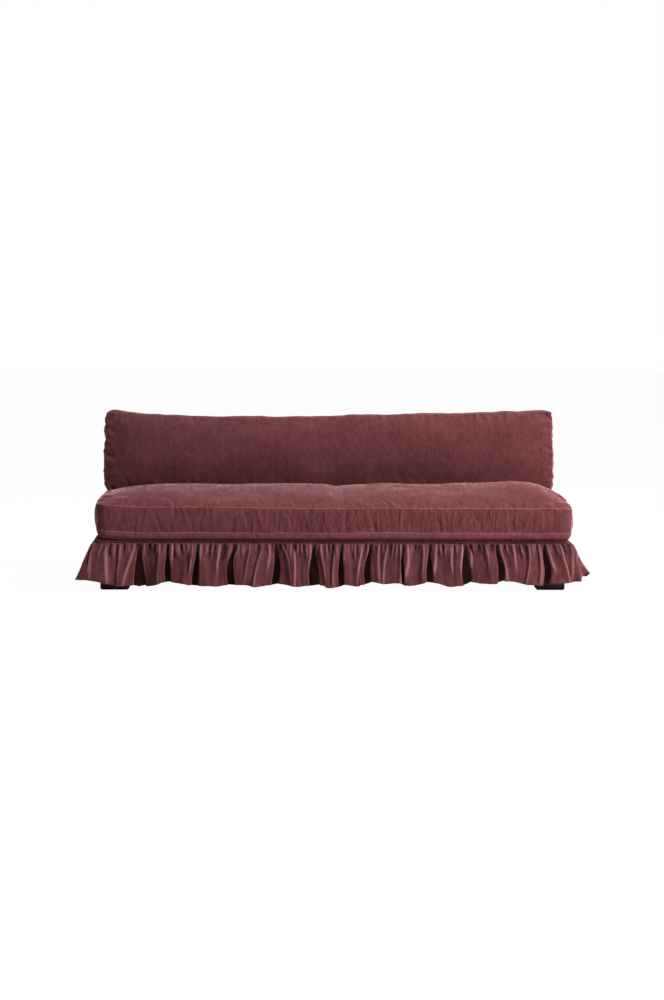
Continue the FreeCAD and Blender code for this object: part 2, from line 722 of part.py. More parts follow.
def zips():
    low, high = seat_paths(0, 0)["rear"][-1], seat_paths(0, 0)["rear"][0]
    middle = V(0, low[0], (low[1] + high[1]) / 2)
    strip, slider = zip_pieces(middle, V(0, 0, 1), V(0, 1, 0))
    keep("seat_zip", strip)
    keep("seat_zip_slider", slider)
    path = back_paths(0, 0)["rear"]
    foot, turn = V(0, *path[0]), V(0, *path[2])
    across = (turn - foot).normalize()
    strip, slider = zip_pieces((foot + turn) / 2, across, V(0, across.z, -across.y))
    keep("back_zip", strip)
    keep("back_zip_slider", slider)


def main():
    seat_frame()
    feet()
    back_frame()
    back_upholstery()
    deck()
    dust_cover()
    skirt()
    seat_cushion()
    back_cushion()
    zips()
    os.makedirs("parts", exist_ok=True)
    for name, solids in nodes.items():
        shape = solids[0] if len(solids) == 1 else Part.makeCompound(solids)
        shape.exportStep(f"parts/{name}.step")


main()
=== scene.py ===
import bpy
import math
import numpy as np
from mathutils import Matrix, Vector


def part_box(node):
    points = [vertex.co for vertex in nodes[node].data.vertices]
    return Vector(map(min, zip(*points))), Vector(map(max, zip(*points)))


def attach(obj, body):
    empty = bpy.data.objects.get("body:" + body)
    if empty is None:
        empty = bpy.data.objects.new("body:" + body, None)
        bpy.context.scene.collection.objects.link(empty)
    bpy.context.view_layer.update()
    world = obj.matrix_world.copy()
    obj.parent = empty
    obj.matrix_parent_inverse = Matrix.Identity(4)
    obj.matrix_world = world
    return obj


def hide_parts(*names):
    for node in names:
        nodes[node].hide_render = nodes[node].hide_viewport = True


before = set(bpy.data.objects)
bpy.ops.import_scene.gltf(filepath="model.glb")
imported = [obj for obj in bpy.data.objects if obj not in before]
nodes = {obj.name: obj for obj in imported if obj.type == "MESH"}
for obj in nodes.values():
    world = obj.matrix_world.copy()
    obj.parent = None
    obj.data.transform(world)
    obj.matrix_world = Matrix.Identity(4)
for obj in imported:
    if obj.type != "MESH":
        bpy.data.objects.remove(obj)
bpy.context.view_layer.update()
scene = bpy.context.scene

# Sizes that the cloth and cushions share with the frame, in millimetres
HALF_WIDTH, HALF_DEPTH = 1040.0, 435.0
DECK_TOP, RAIL_TOP, RAIL_BOTTOM = 228.0, 210.0, 80.0
RAKE = math.radians(10.0)
POST_FRONT, POST_DEPTH, FRAME_TOP = 357.0, 50.0, 498.0
BACK_FACE, PAD_START = -20.0, 20.0
CLEAR = 0.3
END_SWELL, CORNER_ROUND = 9.0, 48.0
SEAT_HALF, SEAT_FRONT, SEAT_LOW, SEAT_HIGH = 1056.0, -447.0, 254.0, 372.0
SEAT_BOTTOM = DECK_TOP + CLEAR
SEAT_TURN, SEAT_CROWN, SEAT_APEX = 24.0, 68.0, 317.0
REST_DEPTH = 144.0
BACK_HALF, BACK_START, BACK_HEIGHT = 1059.0, 152.0, 401.0
BACK_REAR_SEAM, BACK_FRONT_SEAM, BACK_TURN = 30.0, 150.0, 38.0

# Directions up and back along the raked back
RISE_AXIS = np.array((0.0, math.sin(RAKE), math.cos(RAKE)))
DEPTH_AXIS = np.array((0.0, math.cos(RAKE), -math.sin(RAKE)))


# Smooth seeded noise along a line or over a plane


def rough(places, period, seed):
    """Smooth values of about -1 to 1 along a line, with bumps about one period wide."""
    rng = np.random.RandomState(seed)
    knots = rng.uniform(-1, 1, 4096)
    t = np.asarray(places, float) / period + 2000.0
    i = np.floor(t).astype(int)
    f = t - i
    p = [knots[(i + k) % 4096] for k in (-1, 0, 1, 2)]
    return p[1] + 0.5 * f * (
        p[2] - p[0] + f * (2 * p[0] - 5 * p[1] + 4 * p[2] - p[3] + f * (3 * (p[1] - p[2]) + p[3] - p[0]))
    )


def rough2(u, v, period_u, period_v, seed):
    """The same over a plane, from a few turned lines of bumps."""
    u = np.asarray(u, float) / period_u
    v = np.asarray(v, float) / period_v
    total = np.zeros_like(u + v)
    for n, angle in enumerate((0.3, 1.1, 1.9, 2.6)):
        turned = u * math.cos(angle) + v * math.sin(angle)
        across = v * math.cos(angle) - u * math.sin(angle)
        total += rough(turned + 0.6 * rough(across, 1.7, seed + 50 + n), 1.0, seed + n)
    return total / 2.2


def ease(t):
    """Rises from 0 to 1, fast at first."""
    t = np.clip(t, 0.0, 1.0)
    return 1 - (1 - t) ** 2.2


def smooth(t):
    """Rises from 0 to 1, slowly at both ends."""
    t = np.clip(t, 0.0, 1.0)
    return t * t * (3 - 2 * t)


def bell(t):
    """1 at 0, falling away on both sides."""
    return np.exp(-(t ** 2))


# Materials


class Nodes:
    """Builds the node tree of a material or a world, each call adding a node and linking its inputs."""

    def __init__(self, owner, output="OutputMaterial"):
        self.owner = owner
        owner.use_nodes = True
        self.tree = owner.node_tree
        self.tree.nodes.clear()
        self.out = self.add(output)

    def add(self, kind, inputs=None, **settings):
        node = self.tree.nodes.new("ShaderNode" + kind)
        for key, value in settings.items():
            setattr(node, key, value)
        for key, value in (inputs or {}).items():
            self.put(node.inputs[key], value)
        return node

    def put(self, socket, value):
        if isinstance(value, bpy.types.NodeSocket):
            self.tree.links.new(value, socket)
        elif isinstance(value, tuple) and socket.type == "RGBA":
            socket.default_value = (*value, 1.0)
        else:
            socket.default_value = value

    def place(self, scale=(1, 1, 1), turn=(0, 0, 0)):
        at = self.add("TexCoord").outputs["Object"]
        return self.add("Mapping", {"Vector": at, "Scale": scale, "Rotation": turn}).outputs[0]

    def noise(self, scale, detail, rough_=0.55, at=None, distortion=0.0):
        inputs = {"Scale": scale, "Detail": detail, "Roughness": rough_, "Distortion": distortion}
        inputs["Vector"] = at or self.place()
        return self.add("TexNoise", inputs).outputs["Fac"]

    def ramp(self, value, *stops):
        node = self.add("ValToRGB", {"Fac": value})
        elements = node.color_ramp.elements
        while len(elements) < len(stops):
            elements.new(0.5)
        for element, (place, colour) in zip(elements, stops):
            element.position = place
            element.color = (*colour, 1.0)
        return node.outputs["Color"]

    def span(self, value, low, high, to_low=0.0, to_high=1.0):
        inputs = {"Value": value, "From Min": low, "From Max": high, "To Min": to_low, "To Max": to_high}
        return self.add("MapRange", inputs).outputs[0]

    def maths(self, operation, a, b=0.0):
        return self.add("Math", {0: a, 1: b}, operation=operation).outputs[0]

    def total(self, *weighed):
        """The sum of values, each times its weight."""
        parts = [self.maths("MULTIPLY", value, weight) for value, weight in weighed]
        while len(parts) > 1:
            parts = [self.maths("ADD", *parts[k:k + 2]) for k in range(0, len(parts), 2)]
        return parts[0]

    def mix(self, share, a, b):
        node = self.add("Mix", data_type="RGBA")
        for index, value in ((0, share), (6, a), (7, b)):
            self.put(node.inputs[index], value)
        return node.outputs[2]

    def bump(self, height, strength, distance, normal=None):
        inputs = {"Height": height, "Strength": strength, "Distance": distance}
        if normal is not None:
            inputs["Normal"] = normal
        return self.add("Bump", inputs).outputs[0]

    def blend(self, share, a, b):
        return self.add("MixShader", {0: share, 1: a.outputs[0], 2: b.outputs[0]})

    def surface(self, shader):
        self.put(self.out.inputs["Surface"], shader.outputs[0])
        return self.owner

    def finish(self, **inputs):
        named = {key.replace("_", " "): value for key, value in inputs.items()}
        return self.surface(self.add("BsdfPrincipled", named))


def material(name):
    return Nodes(bpy.data.materials.new(name))


def velvet(name, dark, mid, pale, crush=1.0, painted_fold_light=None, lean_sheen=0.0, creased=False, steep=4.6):
    """Cut-pile cloth: crush marks in the pile, a painted sheen that pales the colour where the surface turns
    away from the view, and a fine fuzz.

    An attribute, where one is named, paints shade into the pile deep in a fold and paints a highlight on a
    sharp ridge. A further amount of painted sheen, where given, pales the parts that lean back a little.
    Creased cloth has fine upright wrinkles in its boxing, most at the right."""
    m = material(name)
    broad = m.noise(5.0, 4.0, 0.6, m.place((1.0, 1.0, 1.6)), 0.6)
    small = m.noise(34.0, 4.0, 0.62, m.place((1.0, 1.0, 0.7)), 0.4)
    streak = m.noise(150.0, 3.0, 0.65, m.place((1.0, 0.16, 0.16)))
    fleck = m.noise(95.0, 5.0, 0.75, m.place((1.0, 0.6, 0.6)))
    marks = m.total((broad, 0.17), (small, 0.22), (streak, 0.30), (fleck, 0.31))
    spread = 0.14 / crush
    body = m.ramp(m.span(marks, 0.5 - spread, 0.5 + spread), (0.0, dark), (1.0, mid))
    # Painted sheen: the colour pales towards the sheen colour where the surface turns away from the view, in
    # patches and streaks
    turn = m.add("LayerWeight", {"Blend": 0.5}).outputs["Facing"]
    blotch = m.span(m.noise(13.0, 4.0, 0.62, None, 0.9), 0.36, 0.64, 0.42, 1.0)
    painted_sheen = m.maths("MULTIPLY", m.maths("POWER", turn, steep), blotch)
    crushed = m.noise(62.0, 3.0, 0.65, m.place((1.0, 0.12, 0.6)), 0.8)
    painted_sheen = m.maths("MULTIPLY", painted_sheen, m.span(crushed, 0.36, 0.64, 0.35, 1.65))
    # More painted sheen where the surface leans back a little
    if lean_sheen:
        painted_sheen = m.maths("ADD", painted_sheen, m.span(turn, 0.05, 0.30, 0.0, lean_sheen))
    colour = m.mix(painted_sheen, body, pale)
    # Painted shade deep in the folds and a painted highlight along sharp ridges, read from the named
    # attribute
    if painted_fold_light:
        fold = m.add("Attribute", attribute_name=painted_fold_light).outputs["Fac"]
        colour = m.mix(m.span(fold, 0.0, -1.0, 0.0, 0.78), colour, tuple(0.25 * c for c in dark))
        colour = m.mix(m.span(fold, 0.0, 1.0, 0.0, 0.50), colour, pale)
    fuzz = m.noise(1500.0, 2.0, 0.7)
    tufts = m.noise(260.0, 3.0, 0.6, m.place((1.0, 1.0, 0.45)))
    normal = m.bump(tufts, 0.20, 0.0012, m.bump(fuzz, 0.22, 0.0006))
    normal = m.bump(small, 0.25, 0.004, m.bump(fleck, 0.25, 0.002, normal))
    if creased:
        wave = m.noise(24.0, 2.0, 0.5, m.place((1.0, 0.5, 0.20), (0.0, 0.12, 0.0)), 0.5)
        line = m.maths("SUBTRACT", 1.0, m.maths("ABSOLUTE", m.maths("SUBTRACT", wave, 0.5)))
        kind = m.add("Attribute", attribute_name="kind").outputs["Fac"]
        boxing = m.maths("SUBTRACT", 1.0, m.maths("ABSOLUTE", kind))
        across = m.add("SeparateXYZ", {0: m.add("TexCoord").outputs["Object"]}).outputs[0]
        share = m.maths("MULTIPLY", m.span(boxing, 0.2, 0.9), m.span(across, -0.5, 0.1, 0.25, 1.0))
        height = m.maths("MULTIPLY", m.maths("POWER", line, 22.0), share)
        normal = m.bump(height, 0.45, -0.006, normal)
    return m.finish(
        Base_Color=colour,
        Roughness=0.92,
        Specular_IOR_Level=0.12,
        Sheen_Weight=0.85,
        Sheen_Roughness=0.30,
        Sheen_Tint=(0.86, 0.44, 0.46),
        Normal=normal,
    )


ALONG_X, ALONG_Z = (0.05, 1.0, 1.0), (1.0, 1.0, 0.05)


def wood(name, dark, mid, pale, gloss, along):
    """Timber with long grain, pores and slightly uneven gloss."""
    m = material(name)
    bands = m.noise(38.0, 5.0, 0.62, m.place(along), 1.6)
    pores = m.noise(420.0, 2.0, 0.7, m.place((along[0] * 0.4, along[1], along[2])))
    worn = m.noise(9.0, 3.0)
    grain = m.ramp(bands, (0.30, dark), (0.52, mid), (0.72, pale))
    colour = m.mix(m.span(pores, 0.55, 0.75, 0.0, 0.5), grain, dark)
    rough_ = m.span(worn, 0.3, 0.7, gloss - 0.07, gloss + 0.10)
    normal = m.bump(pores, 0.12, 0.0008, m.bump(bands, 0.12, 0.0015))
    return m.finish(Base_Color=colour, Roughness=rough_, Specular_IOR_Level=0.4, Normal=normal)


def weave(name, dark, pale, pitch, rough_=0.85):
    """Plain-woven cloth: crossing sets of threads, with uneven thread colour."""
    m = material(name)
    threads = []
    for turn in ((0.0, 0.0, 0.0), (0.0, 0.0, math.pi / 2), (0.0, math.pi / 2, 0.0)):
        inputs = {"Vector": m.place(turn=turn), "Scale": 0.157 / pitch, "Distortion": 0.6, "Detail": 1.0}
        threads.append(m.add("TexWave", inputs).outputs["Fac"])
    crossed = m.maths("MAXIMUM", threads[0], threads[1])
    cloth = m.maths("MULTIPLY", crossed, m.span(threads[2], 0, 1, 0.6, 1.0))
    slub = m.noise(60.0, 4.0, 0.7)
    colour = m.ramp(m.total((cloth, 0.55), (slub, 0.6)), (0.15, dark), (0.85, pale))
    normal = m.bump(cloth, 0.5, pitch * 0.5, m.bump(slub, 0.2, 0.002))
    return m.finish(Base_Color=colour, Roughness=rough_, Specular_IOR_Level=0.2, Normal=normal)


def felt_material():
    m = material("felt")
    fibre = m.noise(700.0, 4.0, 0.75, None, 2.0)
    clump = m.noise(90.0, 3.0)
    shade = m.total((fibre, 0.6), (clump, 0.4))
    colour = m.ramp(shade, (0.35, (0.012, 0.011, 0.010)), (0.7, (0.07, 0.062, 0.055)))
    return m.finish(Base_Color=colour, Roughness=0.95, Normal=m.bump(fibre, 0.6, 0.001))


def metal_material():
    m = material("zip_metal")
    wear = m.noise(260.0, 4.0, 0.7)
    colour = m.ramp(wear, (0.3, (0.16, 0.12, 0.09)), (0.75, (0.42, 0.33, 0.25)))
    rough_ = m.span(wear, 0.3, 0.7, 0.28, 0.5)
    return m.finish(Base_Color=colour, Metallic=1.0, Roughness=rough_, Normal=m.bump(wear, 0.1, 0.0004))


# The dark and mid mauves are the cloth's own colours; the pale one is a painted sheen colour
MAUVE_DARK, MAUVE, MAUVE_PAINTED_SHEEN = (0.064, 0.0149, 0.0174), (0.148, 0.0426, 0.0478), (0.40, 0.172, 0.181)
# Darker copies of the mauves for the back cushion: painted shade
BACK_SHADED_DARK, BACK_SHADED_MID = (0.056, 0.0130, 0.0152), (0.130, 0.0374, 0.0420)
# Darker copies of the mauves for the skirt: painted shade
SKIRT_SHADED_DARK, SKIRT_SHADED_MID = (0.050, 0.0116, 0.0136), (0.118, 0.0340, 0.0382)
VELVET = velvet("velvet", MAUVE_DARK, MAUVE, MAUVE_PAINTED_SHEEN)
# The seat's velvet paints a paler sheen, held closer to where the surface turns fully away
SEAT_VELVET = velvet("velvet_seat", MAUVE_DARK, MAUVE, (0.47, 0.228, 0.236), creased=True, steep=6.2)
# The back cushion's velvet: painted shade, and more painted sheen where it leans back
SHADED_BACK_VELVET = velvet("velvet_back_painted_shade", BACK_SHADED_DARK, BACK_SHADED_MID, MAUVE_PAINTED_SHEEN, lean_sheen=0.10)
# The skirt's velvet: painted shade overall, with painted shade and highlights from the fold attribute
SHADED_SKIRT_VELVET = velvet("velvet_skirt_painted_shade", SKIRT_SHADED_DARK, SKIRT_SHADED_MID, MAUVE_PAINTED_SHEEN, painted_fold_light="fold")
# A paler copy of the velvet for the welts: a painted highlight where they catch the light; the band's
# stitches share it
SEAM_PAINTED_HIGHLIGHT = velvet("velvet_seam_painted_highlight", (0.16, 0.050, 0.054), (0.27, 0.098, 0.103), (0.46, 0.21, 0.22), 1.4)
FOOT_COLOURS = (0.004, 0.002, 0.0015), (0.012, 0.006, 0.004), (0.028, 0.014, 0.009)
RAIL_COLOURS = (0.30, 0.17, 0.08), (0.47, 0.30, 0.16), (0.60, 0.42, 0.25)
POST_COLOURS = (0.30, 0.17, 0.08), (0.46, 0.29, 0.15), (0.58, 0.40, 0.24)
DARK_WOOD = wood("dark_wood", *FOOT_COLOURS, 0.42, ALONG_Z)
FRAME_WOOD = wood("frame_wood", *RAIL_COLOURS, 0.6, ALONG_X)
POST_WOOD = wood("post_wood", *POST_COLOURS, 0.6, ALONG_Z)
FELT = felt_material()
WEBBING = weave("webbing", (0.16, 0.10, 0.055), (0.46, 0.34, 0.20), 0.0022)
LINING = weave("lining_cloth", (0.010, 0.010, 0.011), (0.045, 0.045, 0.048), 0.0016, 0.95)
DECK = weave("deck_cloth", (0.055, 0.022, 0.024), (0.135, 0.060, 0.064), 0.0018, 0.9)
ZIP_TAPE = weave("zip_tape", (0.05, 0.016, 0.018), (0.12, 0.04, 0.044), 0.0010, 0.8)
ZIP_METAL = metal_material()


# Mesh helpers


def make(name, points, faces, look, body, shade=True):
    """An object from points in millimetres, riding on a body."""
    mesh = bpy.data.meshes.new(name)
    mesh.from_pydata((np.asarray(points, float) / 1000.0).tolist(), [], [list(map(int, f)) for f in faces])
    mesh.update()
    obj = bpy.data.objects.new(name, mesh)
    scene.collection.objects.link(obj)
    mesh.materials.append(look)
    mesh.polygons.foreach_set("use_smooth", [shade] * len(mesh.polygons))
    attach(obj, body)
    return obj


def grid_faces(rows, columns, start=0, wrap=False, ring=False, caps=False):
    """Quads of a grid of points laid out row by row, numbered from start.

    Wrap closes each row on itself, ring joins the last row to the first, and caps close both ends."""
    faces = []
    for i in range(rows if ring else rows - 1):
        here, there = start + i * columns, start + (i + 1) % rows * columns
        for j in range(columns if wrap else columns - 1):
            k = (j + 1) % columns
            faces.append((here + j, here + k, there + k, there + j))
    if caps:
        end = start + (rows - 1) * columns
        faces.append(range(start, start + columns)[::-1])
        faces.append(range(end, end + columns))
    return faces


def make_grids(name, grids, look, body, slot, shade=True, **how):
    """One object from grids of points, each an array of rows by columns by 3."""
    blocks, faces, count = [], [], 0
    for grid in grids:
        rows, columns = grid.shape[:2]
        faces += grid_faces(rows, columns, count, **how)
        blocks.append(grid.reshape(-1, 3))
        count += rows * columns
    return make(name, np.concatenate(blocks), faces, look, body, shade)


def box_faces(counts, vertex):
    """Outward faces of a lattice box; vertex gives the number of the point at i, j, k."""
    nu, nv, nw = counts
    faces = []

    def add(*corners):
        faces.append([vertex(*corner) for corner in corners])

    for i in range(nu):
        for j in range(nv):
            add((i, j, nw), (i + 1, j, nw), (i + 1, j + 1, nw), (i, j + 1, nw))
            add((i, j, 0), (i, j + 1, 0), (i + 1, j + 1, 0), (i + 1, j, 0))
        for k in range(nw):
            add((i, 0, k), (i + 1, 0, k), (i + 1, 0, k + 1), (i, 0, k + 1))
            add((i, nv, k), (i, nv, k + 1), (i + 1, nv, k + 1), (i + 1, nv, k))
    for j in range(nv):
        for k in range(nw):
            add((0, j, k), (0, j, k + 1), (0, j + 1, k + 1), (0, j + 1, k))
            add((nu, j, k), (nu, j + 1, k), (nu, j + 1, k + 1), (nu, j, k + 1))
    return faces


def points_of(mesh):
    co = np.zeros(len(mesh.vertices) * 3)
    mesh.vertices.foreach_get("co", co)
    return co.reshape(-1, 3) * 1000.0


def set_points(mesh, points):
    mesh.vertices.foreach_set("co", (points / 1000.0).ravel())
    mesh.update()


def normals_of(mesh):
    no = np.zeros(len(mesh.vertices) * 3)
    mesh.vertices.foreach_get("normal", no)
    return no.reshape(-1, 3)


def attribute_of(mesh, name):
    values = np.zeros(len(mesh.vertices))
    mesh.attributes[name].data.foreach_get("value", values)
    return values


def set_attribute(mesh, name, values):
    mesh.attributes.new(name, "FLOAT", "POINT").data.foreach_set("value", values)


def refine(obj):
    """Rounds a mesh by two levels of subdivision."""
    modifier = obj.modifiers.new("finer", "SUBSURF")
    modifier.levels = modifier.render_levels = 2
    dg = bpy.context.evaluated_depsgraph_get()
    mesh = bpy.data.meshes.new_from_object(obj.evaluated_get(dg), preserve_all_data_layers=True, depsgraph=dg)
    old = obj.data
    obj.modifiers.clear()
    obj.data = mesh
    bpy.data.meshes.remove(old)
    mesh.polygons.foreach_set("use_smooth", [True] * len(mesh.polygons))


def thicken(obj, thickness, offset=-1.0):
    modifier = obj.modifiers.new("cloth", "SOLIDIFY")
    modifier.thickness = thickness / 1000.0
    modifier.offset = offset


WELT_SIDES = 7


def tube(name, loops, radius, body):
    """A round welt along closed loops of points."""
    turn = 2 * math.pi * np.arange(WELT_SIDES)[:, None] / WELT_SIDES
    grids = []
    for loop in loops:
        ahead = np.roll(loop, -1, 0) - np.roll(loop, 1, 0)
        ahead /= np.linalg.norm(ahead, axis=1)[:, None]
        side = np.cross(ahead, (0.31, 0.57, 0.76))
        side /= np.linalg.norm(side, axis=1)[:, None]
        other = np.cross(ahead, side)
        grids.append(loop[:, None] + radius * (np.cos(turn) * side[:, None] + np.sin(turn) * other[:, None]))
    # The welt takes the paler velvet, a painted highlight
    return make_grids(name, grids, SEAM_PAINTED_HIGHLIGHT, body, "velvet", wrap=True, ring=True)


# Cushion sections, as (y, z) points from arcs


def arc(p0, middle, p1, count):
    """Points on the arc through a middle point, or on a line where there is none."""
    t = np.linspace(0, 1, count + 1)[:, None]
    a, b = np.array(p0, float), np.array(p1, float)
    if middle is None:
        return a + (b - a) * t
    m = np.array(middle, float)
    d = 2 * (a[0] * (m[1] - b[1]) + m[0] * (b[1] - a[1]) + b[0] * (a[1] - m[1]))
    if abs(d) < 1e-6:
        return a + (b - a) * t
    sq = [p @ p for p in (a, m, b)]
    cx = (sq[0] * (m[1] - b[1]) + sq[1] * (b[1] - a[1]) + sq[2] * (a[1] - m[1])) / d
    cy = (sq[0] * (b[0] - m[0]) + sq[1] * (a[0] - b[0]) + sq[2] * (m[0] - a[0])) / d
    centre = np.array([cx, cy])
    start = math.atan2(*(a - centre)[::-1])
    mid = (math.atan2(*(m - centre)[::-1]) - start + math.pi) % (2 * math.pi) - math.pi
    end = (math.atan2(*(b - centre)[::-1]) - start + math.pi) % (2 * math.pi) - math.pi
    if mid * end < 0:
        end += 2 * math.pi if mid > 0 else -2 * math.pi
    angle = start + end * t[:, 0]
    radius = np.linalg.norm(a - centre)
    return centre + radius * np.stack([np.cos(angle), np.sin(angle)], 1)


def even(path, count, bunch=0.0):
    """A path of knots and arc middles as spaced points, even or closer together towards both ends."""
    line = np.concatenate([arc(*path[i:i + 3], 60) for i in range(0, len(path) - 2, 2)])
    step = np.r_[0, np.cumsum(np.linalg.norm(np.diff(line, axis=0), axis=1))]
    u = np.linspace(0, 1, count + 1)
    wanted = step[-1] * (u - bunch * np.sin(2 * math.pi * u) / (2 * math.pi))
    return np.stack([np.interp(wanted, step, line[:, k]) for k in (0, 1)], 1)


def corner_draw(end):
    """How far a rounded corner draws in, at a distance from the end."""
    if end >= CORNER_ROUND:
        return 0.0
    return CORNER_ROUND - math.sqrt(CORNER_ROUND ** 2 - (CORNER_ROUND - end) ** 2)


def dip(x, depth, width):
    return depth * bell(x / width)


def crown_middle(foot, apex, level):
    """The middle of the arc that leaves foot and is level at apex."""
    run = foot[level] - apex[level]
    drop = apex[1 - level] - foot[1 - level]
    radius = (run * run + drop * drop) / (2 * drop)
    half = math.asin(max(-1.0, min(1.0, run / radius))) / 2
    middle = [0.0, 0.0]
    middle[level] = apex[level] + radius * math.sin(half)
    middle[1 - level] = apex[1 - level] - radius + radius * math.cos(half)
    return tuple(middle)


def between(a, b, push):
    """The middle of two points, pushed to one side."""
    return ((a[0] + b[0]) / 2 + push[0], (a[1] + b[1]) / 2 + push[1])


def raked(depth, rise):
    """The (y, z) of a point by its depth behind the posts' front and its rise along them."""
    y = POST_FRONT + depth * math.cos(RAKE) + rise * math.sin(RAKE)
    return y, RAIL_TOP - depth * math.sin(RAKE) + rise * math.cos(RAKE)


PAD_FOOT = raked(BACK_FACE, PAD_START)
SEAT_REAR = PAD_FOOT[0] - 8.0


def rest_height(y):
    """Height of the slope on which the back cushion stands."""
    foot_y, foot_z = raked(BACK_FACE, BACK_START)
    return foot_z - (y - foot_y) * math.tan(RAKE) - CLEAR / math.cos(RAKE)


# Hollows of the seat's crown: place, depth and width
SEAT_SLACK = 8.5
SEAT_HOLLOWS = ((-530.0, 8.5, 130.0), (200.0, 9.0, 150.0), (480.0, 3.0, 110.0), (940.0, -22.0, 170.0))


def seat_settled(x):
    """How far the seat's crown has sunk: hollows where people sit, and a fuller right end."""
    sunk = SEAT_SLACK + sum(dip(x - at, depth, width) for at, depth, width in SEAT_HOLLOWS)
    return sunk * smooth((SEAT_HALF - abs(x)) / 50.0)


def back_settled(x):
    """How far the back cushion's top has sunk: most left of the middle, least near the right end."""
    left = 12.0 - 5.0 * smooth((-x - 470.0) / 600.0)
    return left - 20.5 * smooth((x + 350.0) / 1150.0) + 11.5 * smooth((x - 790.0) / 230.0)


LATTICE_PITCH, BOXING_ROWS = 19.0, 7


def seat_section(x, count):
    """The seat's top, underside, front and rear at x."""
    end = SEAT_HALF - abs(x)
    draw = corner_draw(end)
    front, rear = SEAT_FRONT + draw, SEAT_REAR - draw
    low, high = SEAT_LOW, SEAT_HIGH - 4.0 * smooth((x + 520.0) / 420.0)
    bottom = min(SEAT_BOTTOM + (low - SEAT_BOTTOM) * (1 - ease(end / 34.0)), low - 0.5)
    rest_y = SEAT_REAR - REST_DEPTH
    rest = (rest_y, rest_height(rest_y) - 12.0 * (1 - ease(end / CORNER_ROUND)))
    rise = SEAT_CROWN * ease(end / 260.0) - dip(x - 12.0, 5.0, 115.0) - dip(x - 20.0, 15.0, 21.0)
    rise += 7.0 * smooth((x - 40.0) / 260.0) * smooth(end / 200.0) - seat_settled(x)
    apex = (SEAT_FRONT + SEAT_APEX, SEAT_HIGH + 12.0 + rise)
    low_front, high_front = (front, low), (front, high)
    low_rear, high_rear = (rear, low), (rear, rest_height(rear))
    base_front, base_rear = (front + SEAT_TURN, bottom), (rear - SEAT_TURN, bottom)
    top_rear = between(apex, rest, (0, (apex[1] - rest[1]) / 6))
    top = [high_front, crown_middle(high_front, apex, 0), apex, top_rear, rest, None, high_rear]
    full = (low - bottom) / (SEAT_LOW - SEAT_BOTTOM)
    front_push = (-(0.21 + 0.60 * full) * SEAT_TURN, 0.20 * (bottom - low))
    front_turn = between(low_front, base_front, front_push)
    rear_turn = between(low_rear, base_rear, (0.21 * SEAT_TURN, 0.21 * (bottom - low)))
    base = [low_front, front_turn, base_front, None, base_rear, rear_turn, low_rear]
    side = [low_front, between(low_front, high_front, (-3.0, 0)), high_front]
    boxing = [even(path, BOXING_ROWS) for path in (side, [low_rear, None, high_rear])]
    return even(top, count, 0.25), even(base, count, 0.72), *boxing


def back_section(x, count):
    """The back cushion's face, rear, underside and top at x."""
    end = BACK_HALF - abs(x)
    draw = corner_draw(end) / 2
    sag = 29.0 * ease(end / 520.0) + back_settled(x)
    foot, head = BACK_START + draw, BACK_START + BACK_HEIGHT - sag - draw
    rise = 8.0 + 30.0 * ease(end / 240.0) - dip(x, 9.0, 90.0)
    apex = (BACK_FRONT_SEAM + rise, foot + (head - foot) * 0.45)
    low_rear, high_rear = (BACK_REAR_SEAM, foot), (BACK_REAR_SEAM, head)
    low_front, high_front = (BACK_FRONT_SEAM, foot), (BACK_FRONT_SEAM, head)
    flat_low, flat_high = (0.0, foot + BACK_TURN), (0.0, head - BACK_TURN)
    shoulder = (BACK_FRONT_SEAM + 0.80 * rise, head - 75.0)
    face = [low_front, crown_middle(low_front, apex, 1), apex, between(apex, shoulder, (2.0, 0)), shoulder]
    face += [between(shoulder, high_front, (0.17 * rise, 9.0)), high_front]
    rear_turn = between(flat_high, high_rear, (-BACK_REAR_SEAM / 8, BACK_TURN / 8))
    rear = [low_rear, None, flat_low, None, flat_high, rear_turn, high_rear]
    base = [low_rear, None, low_front]
    top = [high_rear, between(high_rear, high_front, (0, 7.0)), high_front]
    stood = []
    for path, number in ((face, count), (rear, count), (base, BOXING_ROWS), (top, BOXING_ROWS)):
        stood.append(even([p and raked(BACK_FACE - CLEAR - p[0], p[1] + CLEAR) for p in path], number))
    return stood


